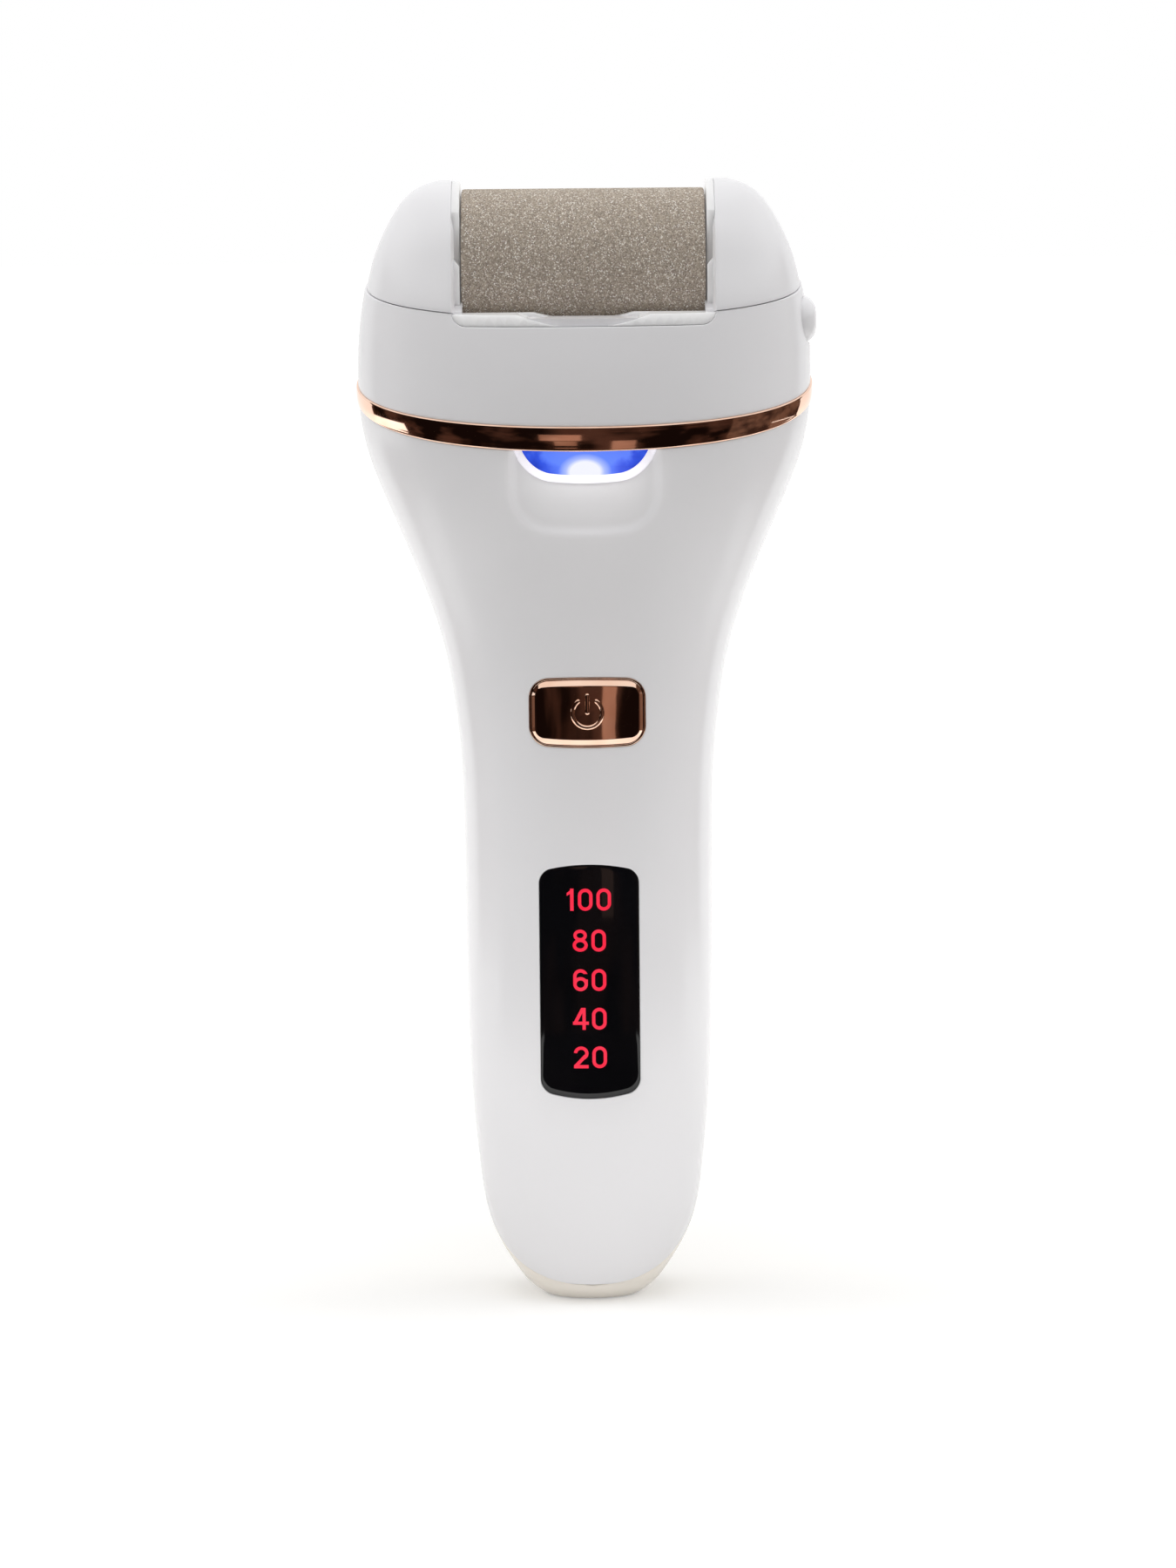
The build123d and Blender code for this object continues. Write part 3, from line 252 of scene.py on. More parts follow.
def cutOpening(points, faces, distance, place, flat, inPart, edgeRound, rounding=0.07):
    # Drops the faces inside an outline, then moves the free points onto it along the distance's slope.
    # flat gives a point's two coordinates in the outline's plane, place puts them back on the surface.
    u, v = flat(points)
    centreU, centreV = u[faces].mean(1), v[faces].mean(1)
    inside = (distance(centreU, centreV) < 0) & inPart(points)[faces].all(1)
    edge = np.intersect1d(np.unique(faces[inside]), np.unique(faces[~inside]))
    u, v = u[edge], v[edge]
    for _ in range(6):
        du, dv = slopeOf(distance, u, v)
        away = distance(u, v) / np.maximum(du * du + dv * dv, 1e-6)
        u, v = u - away * du, v - away * dv
    points = points.copy()
    points[edge] = place(u, v)
    edgeRound = edgeRound.copy()
    edgeRound[edge] = rounding
    return points, faces[~inside], edgeRound


def spaced(*parts):
    # Rising values from runs given as (from, to, step)
    runs = [np.linspace(low, high, max(2, int(round(abs(high - low) / step)) + 1))[:-1]
            for low, high, step in parts]
    return np.concatenate(runs + [[parts[-1][1]]])


def outlinePoints(width, height, corner, bulge, count):
    # Points around the outline, found by walking out from the centre to where the distance is zero
    distance = roundedOutline(width, height, corner, bulge)
    angle = np.linspace(0, 2 * np.pi, count, endpoint=False)
    # More points where the outline turns
    angle = np.arctan2(np.sin(angle) * height, np.cos(angle) * width)
    low, high = np.zeros(count), np.full(count, max(width, height))
    for _ in range(40):
        mid = (low + high) / 2
        beyond = distance(mid * np.cos(angle), mid * np.sin(angle)) > 0
        high, low = np.where(beyond, mid, high), np.where(beyond, low, mid)
    return low * np.cos(angle), low * np.sin(angle)


def outlineSurface(outline, rows, place):
    # Rows are (share, inset, height): the outline scaled by share about its centre, moved inwards by
    # inset along its normal, and set at that height; place maps (u, v, height) to the object
    u, v = outline
    du = np.roll(u, -1) - np.roll(u, 1)
    dv = np.roll(v, -1) - np.roll(v, 1)
    size = np.hypot(du, dv)
    outU, outV = dv / size, -du / size
    points = [place(u * share - outU * inset, v * share - outV * inset, height)
              for share, inset, height in rows]
    return np.concatenate(points), gridFaces(len(rows), len(u), closed=True)


# Materials
def colour(code):
    # sRGB hex to linear
    value = np.array([int(code[i:i + 2], 16) for i in (0, 2, 4)]) / 255
    value = np.where(value <= 0.04045, value / 12.92, ((value + 0.055) / 1.055) ** 2.4)
    return (*value.tolist(), 1.0)


def addNode(tree, kind, settings=None, into=None, **inputs):
    # Adds a node with its settings, sets or links its inputs, and links its first output into a socket.
    # Inputs go by name, with _ for a space, or by number, as in _0; a node given as an input stands for
    # its first output, and the setting stops holds a ramp's (position, sRGB hex).
    made = tree.nodes.new("ShaderNode" + kind)
    for name, value in (settings or {}).items():
        if name != "stops":
            setattr(made, name, value)
            continue
        elements = made.color_ramp.elements
        while len(elements) < len(value):
            elements.new(0.5)
        for element, (position, code) in zip(elements, value):
            element.position = position
            element.color = colour(code)
    for name, value in inputs.items():
        socket = made.inputs[int(name[1:])] if name[0] == "_" else made.inputs[name.replace("_", " ")]
        value = value.outputs[0] if isinstance(value, bpy.types.Node) else value
        if isinstance(value, bpy.types.NodeSocket):
            tree.links.new(value, socket)
        else:
            socket.default_value = value
    if into is not None:
        tree.links.new(made.outputs[0], into)
    return made


def emptyTree(block):
    # The cleared node tree of a material or world
    block.use_nodes = True
    block.node_tree.nodes.clear()
    return block.node_tree


def startMaterial(name, **shader):
    # A Principled material; returns it, its tree, the shader's inputs and the object coordinates
    made = bpy.data.materials.new(name)
    tree = emptyTree(made)
    surface = addNode(tree, "BsdfPrincipled", **shader)
    addNode(tree, "OutputMaterial", Surface=surface)
    where = addNode(tree, "TexCoord").outputs["Object"]
    return made, tree, surface.inputs, where


def mouldedPlastic(name, shade, darker, roughness, bumpMm, ior=1.54, grainMm=0.9):
    # Injection-moulded plastic: even colour with a trace of flow shading, gloss broken by a faint texture
    made, tree, looks, where = startMaterial(name, Roughness=roughness, IOR=ior)
    flow = addNode(tree, "TexNoise", Vector=where, Scale=1000 / 38, Detail=2.0, Roughness=0.5)
    addNode(tree, "ValToRGB", {"stops": [(0.3, darker), (0.7, shade)]}, looks["Base Color"], Fac=flow)
    grain = addNode(tree, "TexNoise", Vector=where, Scale=1000 / grainMm, Detail=3.0)
    addNode(tree, "MapRange", None, looks["Roughness"], Value=grain,
            To_Min=roughness * 0.8, To_Max=roughness * 1.25)
    addNode(tree, "Bump", None, looks["Normal"], Height=grain, Strength=0.25, Distance=bumpMm / 1000)
    return made


def platedMetal(name, shade, darker, roughness, waveMm=4.0, waveDepthMm=0.002):
    # Plated or polished metal: mirror with a soft orange-peel wave and fine changes of gloss
    made, tree, looks, where = startMaterial(name, Metallic=1.0, Roughness=roughness)
    wave = addNode(tree, "TexNoise", Vector=where, Scale=1000 / waveMm, Detail=1.0)
    addNode(tree, "ValToRGB", {"stops": [(0.35, darker), (0.65, shade)]}, looks["Base Color"], Fac=wave)
    fine = addNode(tree, "TexNoise", Vector=where, Scale=1000 / 0.6, Detail=2.0)
    addNode(tree, "MapRange", None, looks["Roughness"], Value=fine,
            To_Min=roughness * 0.7, To_Max=roughness * 1.4)
    addNode(tree, "Bump", None, looks["Normal"], Height=wave, Strength=0.3, Distance=waveDepthMm / 1000)
    return made


# ABS, injection moulded and polished: white with a soft gloss
whiteAbs = mouldedPlastic("white gloss ABS moulded", "F1F0F2", "ECEBED", 0.22, 0.006)
# ABS in cream, the same tool polish, for the rear half
creamAbs = mouldedPlastic("cream gloss ABS moulded", "F9F3EA", "F5EEE3", 0.22, 0.006)
# ABS with vacuum-plated rose gold: a tinted mirror
roseGold = platedMetal("rose gold plated ABS", "F8D5BF", "F2CAB2", 0.06)
# Nickel-plated steel sheet and contacts
nickelPlate = platedMetal("nickel plated steel", "CFCBC2", "BDB8AE", 0.22)
# Turned and ground steel: shafts, screws, pins
groundSteel = platedMetal("ground steel", "B9BCC0", "A5A8AD", 0.28, 1.5, 0.001)
# Sintered bronze of the bushes and copper look of the rotor
sinteredBronze = platedMetal("sintered bronze", "A9793F", "8C6230", 0.4, 0.5, 0.004)
# Nylon, black and grey, of hubs, gears and switch parts
darkNylon = mouldedPlastic("dark nylon moulded", "2B2A2C", "222124", 0.42, 0.01, 1.53, 0.5)
greyNylon = mouldedPlastic("natural acetal moulded", "DAD6CC", "CFCABF", 0.35, 0.008, 1.48, 0.6)
# Ferrite magnet, pressed and ground
ferrite = mouldedPlastic("pressed ferrite", "33322F", "262523", 0.6, 0.02, 1.9, 0.3)
# PVC shrink sleeve of the cell
cellSleeve = mouldedPlastic("PVC shrink sleeve", "3E7C5A", "35704F", 0.3, 0.01, 1.53, 2.0)
# Epoxy-glass board under solder mask
solderMask = mouldedPlastic("green solder mask on epoxy glass", "1E5A3A", "174A2F", 0.3, 0.006, 1.55, 0.7)
# Silicone insulation of the wires
redSilicone = mouldedPlastic("red silicone insulation", "B4322C", "A12A25", 0.5, 0.01, 1.43, 0.4)
# Milky epoxy of the light-emitting diodes
paleDiffuser = mouldedPlastic("milky LED epoxy", "F4EFD8", "EDE6C8", 0.25, 0.004, 1.53, 0.5)


def mineralGrit():
    # Mineral abrasive bonded to a sleeve: matt taupe grains of 0.16 mm, with bright broken faces
    # between darker resin
    made, tree, looks, where = startMaterial("bonded mineral grit", Roughness=0.85, IOR=1.6)
    grain = addNode(tree, "TexVoronoi", Vector=where, Scale=1000 / 0.16)
    fleck = addNode(tree, "TexWhiteNoise", Vector=grain.outputs["Position"])
    stops = [(0.0, "8F8377"), (0.5, "B5A797"), (0.85, "CABCAB"), (0.97, "FBF7F0")]
    addNode(tree, "ValToRGB", {"stops": stops}, looks["Base Color"], Fac=fleck)
    lumps = addNode(tree, "TexNoise", Vector=where, Scale=1000 / 0.8, Detail=6.0, Roughness=0.7)
    height = addNode(tree, "Math", {"operation": "SUBTRACT"}, _0=lumps, _1=grain)
    addNode(tree, "Bump", None, looks["Normal"], Height=height, Strength=0.9, Distance=0.12 / 1000)
    return made


def milkyPolycarbonate():
    # Polycarbonate, moulded milky: light scatters inside it, and a faint painted glow lifts its shaded faces,
    # so that edges and plates look evenly white
    made, tree, looks, where = startMaterial(
        "milky polycarbonate with painted glow", IOR=1.58, Base_Color=colour("FCFBFD"), Subsurface_Weight=0.85,
        Subsurface_Radius=(1, 1, 1), Subsurface_Scale=2.5 / 1000,
        Emission_Color=colour("FFFFFF"), Emission_Strength=0.06)  # painted glow, standing in for light gathered in the plates
    haze = addNode(tree, "TexNoise", Vector=where, Scale=1000 / 6.0, Detail=2.0)
    addNode(tree, "MapRange", None, looks["Roughness"], Value=haze, To_Min=0.18, To_Max=0.28)
    addNode(tree, "Bump", None, looks["Normal"], Height=haze, Strength=0.2, Distance=0.01 / 1000)
    return made


def smokedAcrylic():
    # PMMA, cast black and polished: deep black under a clean reflection
    made, tree, looks, where = startMaterial("smoked acrylic polished", IOR=1.49)
    depth = addNode(tree, "TexNoise", Vector=where, Scale=1000 / 20.0)
    addNode(tree, "ValToRGB", {"stops": [(0.3, "08080A"), (0.7, "0D0D10")]}, looks["Base Color"], Fac=depth)
    addNode(tree, "MapRange", None, looks["Roughness"], Value=depth, To_Min=0.03, To_Max=0.06)
    return made


def litDigits():
    # Light guides behind the window: red light, in patches a little stronger
    made, tree, looks, where = startMaterial(
        "red lit light guide", Roughness=0.3, IOR=1.49, Base_Color=colour("3A0A10"), Emission_Strength=0.95)
    glow = addNode(tree, "TexNoise", Vector=where, Scale=1000 / 3.0)
    addNode(tree, "ValToRGB", {"stops": [(0.3, "FF2344"), (0.7, "FF3552")]}, looks["Emission Color"],
            Fac=glow)
    return made


# Hot spot of the lamp: its height from the lens's middle, its reach, and the share of the width that counts
hotSpot = {"above": -1.7, "reach": 5.0, "squeeze": 0.7}


def lampLens(middle):
    # Opal polycarbonate lit from behind by blue-white diodes: royal blue, cloudy towards the ends,
    # with a hot spot low in the middle
    made, tree, looks, where = startMaterial(
        "opal polycarbonate lit blue", Roughness=0.12, IOR=1.58,
        Base_Color=colour("1C2A8C"), Emission_Strength=0.9)
    spot = addNode(tree, "Mapping", Vector=where,
                   Location=(0, 0, -(middle[2] + hotSpot["above"]) / 1000))
    near = addNode(tree, "SeparateXYZ", Vector=spot).outputs
    wide = addNode(tree, "Math", {"operation": "MULTIPLY"}, _0=near["X"], _1=hotSpot["squeeze"])
    flat = addNode(tree, "CombineXYZ", X=wide, Z=near["Z"])
    reach = addNode(tree, "VectorMath", {"operation": "LENGTH"}, _0=flat).outputs["Value"]
    fade = addNode(tree, "MapRange", Value=reach, From_Max=hotSpot["reach"] / 1000,
                   To_Min=1.0, To_Max=0.0)
    stops = [(0.0, "000000"), (0.42, "303A60"), (0.58, "A8B0E8"), (0.68, "FFFFFF")]
    spotTint = addNode(tree, "ValToRGB", {"stops": stops}, Fac=fade)
    cloud = addNode(tree, "TexNoise", Vector=where, Scale=1000 / 2.6, Detail=3.0)
    aside = addNode(tree, "Math", {"operation": "ABSOLUTE"}, _0=near["X"])
    ends = addNode(tree, "MapRange", Value=aside, From_Min=0.0035, From_Max=0.0075)
    upper = addNode(tree, "MapRange", Value=near["Z"], From_Min=0.0008, From_Max=0.0026)
    dim = addNode(tree, "Math", {"operation": "MULTIPLY"}, _0=ends, _1=cloud)
    lift = addNode(tree, "Math", {"operation": "SUBTRACT"}, _0=1.0, _1=dim)
    level = addNode(tree, "Math", {"operation": "MULTIPLY_ADD"}, _0=upper, _1=0.35, _2=lift)
    stops = [(0.35, "16309C"), (0.75, "3052D0"), (1.0, "5E84F0")]
    blue = addNode(tree, "ValToRGB", {"stops": stops}, Fac=level)
    both = addNode(tree, "Mix", {"data_type": "RGBA", "blend_type": "SCREEN"},
                   _0=1.0, _6=blue, _7=spotTint)  # factor, then the two colours
    tree.links.new(both.outputs[2], looks["Emission Color"])
    return made


def paintedGlowCollar():
    # The same white ABS with a painted soft white glow, standing in for the lamp's light on the collar round
    # it
    made, tree, looks, where = startMaterial(
        "white ABS with painted lamp glow", Roughness=0.3, IOR=1.54, Base_Color=colour("F1F0F2"), Emission_Strength=1.0)
    # Painted glow: the emission colour, in soft patches
    paintedGlowPatches = addNode(tree, "TexNoise", Vector=where, Scale=1000 / 5.0, Detail=1.0)
    addNode(tree, "ValToRGB", {"stops": [(0.3, "8E8C98"), (0.7, "9A98A6")]}, looks["Emission Color"],
            Fac=paintedGlowPatches)
    return made


grit = mineralGrit()
milkyPc = milkyPolycarbonate()
blackAcrylic = smokedAcrylic()
redGlow = litDigits()
blueLens = lampLens(middleOf("led_lens"))
paintedGlowRim = paintedGlowCollar()
print("materials made")


# Planes that part the body, as height at y = 0 and slope along y, and the toe's parting curve
ringTop = {"height": 146.4, "slope": 0.23}
ringBottom = {"height": 144.0, "frontSlope": 0.296, "rearSlope": 0.23}
earSeam = {"height": 161.6, "slope": 0.19}
toe = {
    "y": [-9.7, -7.0, -2.7, -0.5, 0.5, 0.5],       # of the parting line, at the heights below
    "z": [2.65, 5.0, 10.5, 16.0, 24.0, 30.0],
    "straightFrom": 24.0,                          # height
    "straight": 0.5,                               # y from there up
}
toeCurve = smoothCurve(toe["z"], toe["y"])


def ringLow(y):
    # Height of the ring's lower plane, which is steeper in front
    return ringBottom["height"] + np.where(y < 0, ringBottom["frontSlope"], ringBottom["rearSlope"]) * y


def partingTurn(z):
    # Turn, from the front, at which the shells meet at height z
    y = np.where(z < toe["straightFrom"], toeCurve(z), toe["straight"])
    share = np.clip(y / halfDepth(z), -1, 1)
    return 1 + np.sign(share) * quarterOf(np.abs(share))


# Front shell
shell = {
    "innerHalf": 12.0,         # half-width of the strip with level columns, where the controls are
    "innerColumns": 88,
    "outerColumns": 34,
    "recess": (22.8, 17.0, 5.5, 1.0),   # width, height, corner, bulge, as in every outline
    "recessMiddle": 133.1,
    "recessDepth": 1.1,
    "recessEdge": 2.2,         # width over which the floor comes up
    "recessLow": 0.85,         # share of the depth left at the bottom
    "recessFrom": 125.5,       # height from which the depth grows to the full one
    "recessOver": 8.0,         # over this much height
    "windowOpening": (15.8, 37.5, 1.8, 1.2),
    "buttonOpening": (18.3, 11.2, 3.0, 0.35),
    "lensOpening": (20.8, 13.2, 5.1, 1.3),
    "lensRise": 6.5,           # from the lens's lowest point to the middle of its outline
    "levelTo": 118.0,          # rows of the mesh are level up to here
    "ringFront": 137.2,        # about where the ring's lower plane meets the front
}
# Lowest point of the front shell: where the toe's curve meets the body's front
toeHeights = np.linspace(2, 4, 400)
toeLow = float(np.interp(0, toeCurve(toeHeights) + halfDepth(toeHeights), toeHeights))
windowMiddle = middleOf("display_window")[2]
buttonMiddle = middleOf("button_frame")[2]
lensMiddle = boxOf("led_lens")[0][2] + shell["lensRise"]
recessShape = roundedOutline(*shell["recess"])


def fanned(z, turn, lowTop):
    # Rows stay level up to levelTo, then spread so that the last one lies on the ring's lower plane
    lowPart = shell["levelTo"]
    top = np.full_like(turn, lowTop)
    for _ in range(8):
        top = ringLow(halfDepth(top) * unitSection(turn)[1])
    return np.where(z < lowPart, z, lowPart + (z - lowPart) * (top - lowPart) / (lowTop - lowPart))


def recessDepth(x, z):
    # Depth by smoothstep of the distance from the recess's outline, less towards the bottom
    inner = np.clip(0.5 - recessShape(x, z - shell["recessMiddle"]) / shell["recessEdge"], 0, 1)
    up = np.clip((z - shell["recessFrom"]) / shell["recessOver"], 0, 1)
    deep = shell["recessLow"] + (1 - shell["recessLow"]) * up * up * (3 - 2 * up)
    return shell["recessDepth"] * deep * inner * inner * (3 - 2 * inner)


def frontSheet():
    # Across: x is even up to innerHalf, then the turn is even up to the parting line.
    # Upwards: rows of fanned heights, closer at the toe, the controls' ends and the recess
    frontTop = float(ringLow(-halfDepth(shell["ringFront"])))
    heights = spaced((toeLow, toeLow + 1, 0.15), (toeLow + 1, 10, 0.6), (10, 33, 1.1), (33, 38, 0.32),
                     (38, 68, 1.3), (68, 73.5, 0.32), (73.5, 89, 1.0), (89, 103, 0.45), (103, 122, 1.0),
                     (122, frontTop, 0.28))
    side = np.linspace(0, 1, shell["outerColumns"] + 1)[1:]
    s = np.concatenate([-1 - side[::-1], np.linspace(-1, 1, shell["innerColumns"] + 1), 1 + side])
    z, s = np.meshgrid(heights, s, indexing="ij")
    level = z.copy()
    for _ in range(3):
        width = halfWidth(z)
        edge = partingTurn(z)
        wanted = np.minimum(shell["innerHalf"], 0.62 * width) / width  # less where the body is narrow
        innerTurn = np.minimum(quarterOf(wanted), 0.62 * edge)
        innerShare = rise(innerTurn)
        flat = quarterOf(np.clip(np.abs(s), 0, 1) * innerShare)
        turn = np.where(np.abs(s) <= 1, flat, innerTurn + (np.abs(s) - 1) * (edge - innerTurn)) * np.sign(s)
        z = fanned(level, turn, frontTop)
    x, y = unitSection(turn)
    x, y = x * halfWidth(z), y * halfDepth(z)
    y = np.where((y < 0) & (z > shell["levelTo"]), y + recessDepth(x, z), y)
    return np.stack([x, y, z], -1).reshape(-1, 3), gridFaces(*z.shape)


def onFront(u, v, middle):
    # Point of the front shell's face, recess included, at u and v from a middle height
    x, z = u, v + middle
    y = frontY(x, z)
    return np.stack([x, np.where(z > shell["levelTo"], y + recessDepth(x, z), y), z], 1)


def makeFrontShell():
    # The front sheet with its three openings, given its wall
    points, faces = frontSheet()
    edgeRound = np.full(len(points), body["seamRound"])
    for opening, middle in (("windowOpening", windowMiddle), ("buttonOpening", buttonMiddle),
                            ("lensOpening", lensMiddle)):
        points, faces, edgeRound = cutOpening(
            points, faces, roundedOutline(*shell[opening]), lambda u, v, m=middle: onFront(u, v, m),
            lambda p, m=middle: (p[:, 0], p[:, 2] - m), lambda p: p[:, 1] < -1, edgeRound)
    points, faces = wallOf(points, faces, body["wall"], edgeRound)
    made = makePiece("frontShell", points, faces, whiteAbs, "housing")
    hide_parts("front_shell")


rear = {
    "columns": 141,
    "footHeight": 0.1,         # height whose section gives the foot's outline
    # Rows of the foot as (share of that outline, height)
    "footRows": [(0.0, 0.0), (0.4, 0.0), (0.8, 0.0), (0.955, 0.0), (0.985, 0.05), (1.0, 0.16)],
    "socketOpening": (9.6, 3.9, 1.94),
}


def makeRearShell():
    # The rest of the body's girth behind the parting line, closed below by the flat foot
    top = shell["ringFront"]
    heights = spaced((0.35, toeLow + 1, 0.3), (toeLow + 1, 11, 0.6), (11, 13, 0.25), (13, 16, 0.3),
                     (16, shell["levelTo"], 1.1), (shell["levelTo"], top, 1.0))
    z, s = np.meshgrid(heights, np.linspace(-1, 1, rear["columns"]), indexing="ij")
    level = z.copy()
    for _ in range(3):
        turn = 2 + s * (2 - partingTurn(z))
        z = fanned(level, turn, top)
    x, y = unitSection(turn)
    x, y = x * halfWidth(z), y * halfDepth(z)
    skirt = np.stack([x, y, z], -1)
    # Foot: the lowest row rounded over and drawn in to the middle of the flat
    ex, ey = unitSection(2 + s[0] * 2)
    ex, ey = ex * halfWidth(rear["footHeight"]), ey * halfDepth(rear["footHeight"])
    foot = [np.stack([ex * share, ey * share, np.full_like(ex, height)], -1)
            for share, height in rear["footRows"]]
    points = np.concatenate([np.stack(foot), skirt]).reshape(-1, 3)
    faces = gridFaces(len(foot) + z.shape[0], z.shape[1])
    edgeRound = np.full(len(points), body["seamRound"])
    socketMiddle = middleOf("charging_socket")[2]
    points, faces, edgeRound = cutOpening(
        points, faces, roundedOutline(*rear["socketOpening"]),
        lambda u, v: np.stack([u, -frontY(u, v + socketMiddle), v + socketMiddle], 1),
        lambda p: (p[:, 0], p[:, 2] - socketMiddle), lambda p: p[:, 1] > 5, edgeRound, 0.1)
    points, faces = wallOf(points, faces, body["wall"], edgeRound)
    made = makePiece("rearShell", points, faces, creamAbs, "housing")
    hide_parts("rear_shell")


ring = {
    "proud": 0.3,              # outside the body
    "inner": -1.9,
    "round": 0.28,
    "bow": 0.05,               # of the face between the rounded edges
    "columns": 280,
    "rows": 14,
}


def makeTrimRing():
    # A rounded band carried round the body's section between the two tilted planes
    turn = np.linspace(0, 4, ring["columns"], endpoint=False)
    ux, uy = unitSection(turn)
    low = np.full_like(turn, ringBottom["height"])
    high = np.full_like(turn, ringTop["height"])
    for _ in range(8):
        low = ringLow(halfDepth(low) * uy)
        high = ringTop["height"] + ringTop["slope"] * halfDepth(high) * uy
    bevel = np.radians([0, 22, 45, 68, 90])
    r = ring["round"]
    lowRows = [(ring["proud"] - r + r * math.sin(q), 0.0, r * (1 - math.cos(q))) for q in bevel]
    highRows = [(ring["proud"] - r + r * math.sin(q), 1.0, -r * (1 - math.cos(q))) for q in bevel[::-1]]
    face = [(ring["proud"] + ring["bow"] * (1 - ((f - 0.5) / 0.36) ** 2), f, 0.0)
            for f in np.linspace(0.14, 0.86, ring["rows"])]
    profile = [(ring["inner"], 0.0, 0.0)] + lowRows + face + highRows + [(ring["inner"], 1.0, 0.0)]
    profile += [(ring["inner"], 0.0, 0.0)]
    points = []
    for out, share, lift in profile:
        z = low + share * (high - low) + lift
        points.append(np.stack([(halfWidth(z) + out) * ux, (halfDepth(z) + out) * uy, z], 1))
    faces = gridFaces(len(profile), ring["columns"], closed=True)
    made = makePiece("trimRing", np.concatenate(points), faces, roseGold, "housing")
    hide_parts("trim_ring")


# Head
mouth = {
    "half": 20.5,
    "corner": 2.2,             # radius of its lower corners
    "deck": 156.3,             # height of its floor
    "cornerTop": 157.95,       # height at which the corners end
}
headRows = {
    "mouthColumns": 26,
    "sideColumns": 75,
    "cornerAngles": [12, 24, 36, 48, 60, 75],   # degrees round the mouth's lower corners
    "toMouth": 40,
    "toSeam": 15,
    "start": 150.0,            # first guess of every height
    "buttonOpening": (12.3, 7.5, 3.74),
}


def seamZ(y, above=0.0):
    # Height of the ears' seam plane
    return earSeam["height"] + earSeam["slope"] * y + above


def headColumns(z):
    # Turn of each column at height z: even x over the mouth, front and rear, and an even turn round the sides
    corner = mouth["corner"] * np.sin(np.radians(headRows["cornerAngles"]))
    flatEnd = mouth["half"] - mouth["corner"]
    flat = np.linspace(0, flatEnd, headRows["mouthColumns"])
    half = np.concatenate([flat, flatEnd + corner, [mouth["half"]]])
    x = np.concatenate([-half[:0:-1], half])
    width = halfWidth(z)
    frontTurn = np.sign(x) * quarterOf(np.abs(x) / width)
    edge = quarterOf(mouth["half"] / width)
    share = np.linspace(0, 1, headRows["sideColumns"])[1:-1]
    sideTurn = edge + share * (2 - 2 * edge)
    rearTurn = 2 - np.sign(x[::-1]) * quarterOf(np.abs(x[::-1]) / width)
    return np.concatenate([frontTurn, sideTurn, rearTurn, sideTurn + 2]), x


def makeHeadWall():
    # One sheet round the head: up to the mouth in front and behind, and on up to the ears' seam at the sides
    probe, x = headColumns(headRows["start"])
    count, inner = len(probe), len(x)
    side = count // 2 - inner
    r = mouth["corner"]
    corner = np.abs(x) - (mouth["half"] - r)
    lift = np.where(corner > 0, r - np.sqrt(np.maximum(r ** 2 - corner ** 2, 0)), 0)
    lip = np.minimum(mouth["deck"] + lift, mouth["cornerTop"])
    lip[[0, -1]] = mouth["cornerTop"]
    flank = np.full(side, mouth["cornerTop"])
    mid = np.concatenate([lip, flank, lip, flank])
    isFlank = np.zeros(count, bool)
    isFlank[inner - 1:inner + side + 1] = True
    isFlank[-side - 1:] = True
    isFlank[0] = True

    # Turns by height, worked out once and then read between two heights
    table = np.linspace(136, 166, 61)
    turns = np.stack([headColumns(h)[0] for h in table])

    def columnTurn(z):
        spot = np.clip((z - table[0]) / (table[1] - table[0]), 0, len(table) - 1.001)
        i = spot.astype(int)
        part = spot - i
        columns = np.arange(count)
        return turns[i, columns] * (1 - part) + turns[i + 1, columns] * part

    def settle(share, lowPlane, highPlane):
        # Height and turn of a row, found together: the planes are tilted, so the height depends on y
        z = np.full(count, headRows["start"])
        turn = probe
        for _ in range(4):
            y = halfDepth(z) * unitSection(turn)[1]
            z = lowPlane(y) + share * (highPlane(y) - lowPlane(y))
            turn = columnTurn(z)
        return z, turn

    rows = [settle(share, lambda y: ringTop["height"] + ringTop["slope"] * y - 0.05, lambda y: mid)
            for share in np.linspace(0, 1, headRows["toMouth"])]
    rows += [settle(share, lambda y: mid, lambda y: seamZ(y, -0.02))
             for share in np.linspace(0, 1, headRows["toSeam"])[1:]]
    z = np.stack([row[0] for row in rows])
    turn = np.stack([row[1] for row in rows])
    x3, y3 = unitSection(turn)
    points = np.stack([x3 * halfWidth(z), y3 * halfDepth(z), z], -1).reshape(-1, 3)
    faces = gridFaces(len(rows), count, closed=True)
    rowIndex = faces.min(1) // count
    onFlank = isFlank[faces % count].all(1)
    faces = faces[(rowIndex < headRows["toMouth"] - 1) | onFlank]
    edgeRound = np.full(len(points), body["seamRound"])
    buttonZ = middleOf("release_button")[2]
    points, faces, edgeRound = cutOpening(
        points, faces, roundedOutline(*headRows["buttonOpening"]),
        lambda u, v: np.stack([sideX(u, v + buttonZ), u, v + buttonZ], 1),
        lambda p: (p[:, 1], p[:, 2] - buttonZ), lambda p: p[:, 0] > 25, edgeRound, 0.1)
    points, faces = wallOf(points, faces, body["wall"], edgeRound)
    made = makePiece("headWall", points, faces, whiteAbs, "housing")
    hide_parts("head_housing")


deck = {
    "trough": 14.4,            # radius of the floor round the roller's axis
    "apron": 8.0,              # level run in front of and behind the trough
    "wall": 1.2,
    "inside": 0.6,             # gap to the head's outer face
    "cheekDepth": 19.0,        # half-depth of a cheek before it's trimmed
    "cheekWall": 1.7,
    "cheekReach": 1.9,         # how far outside the mouth the head's face is measured
    "cheekInside": 0.8,
}


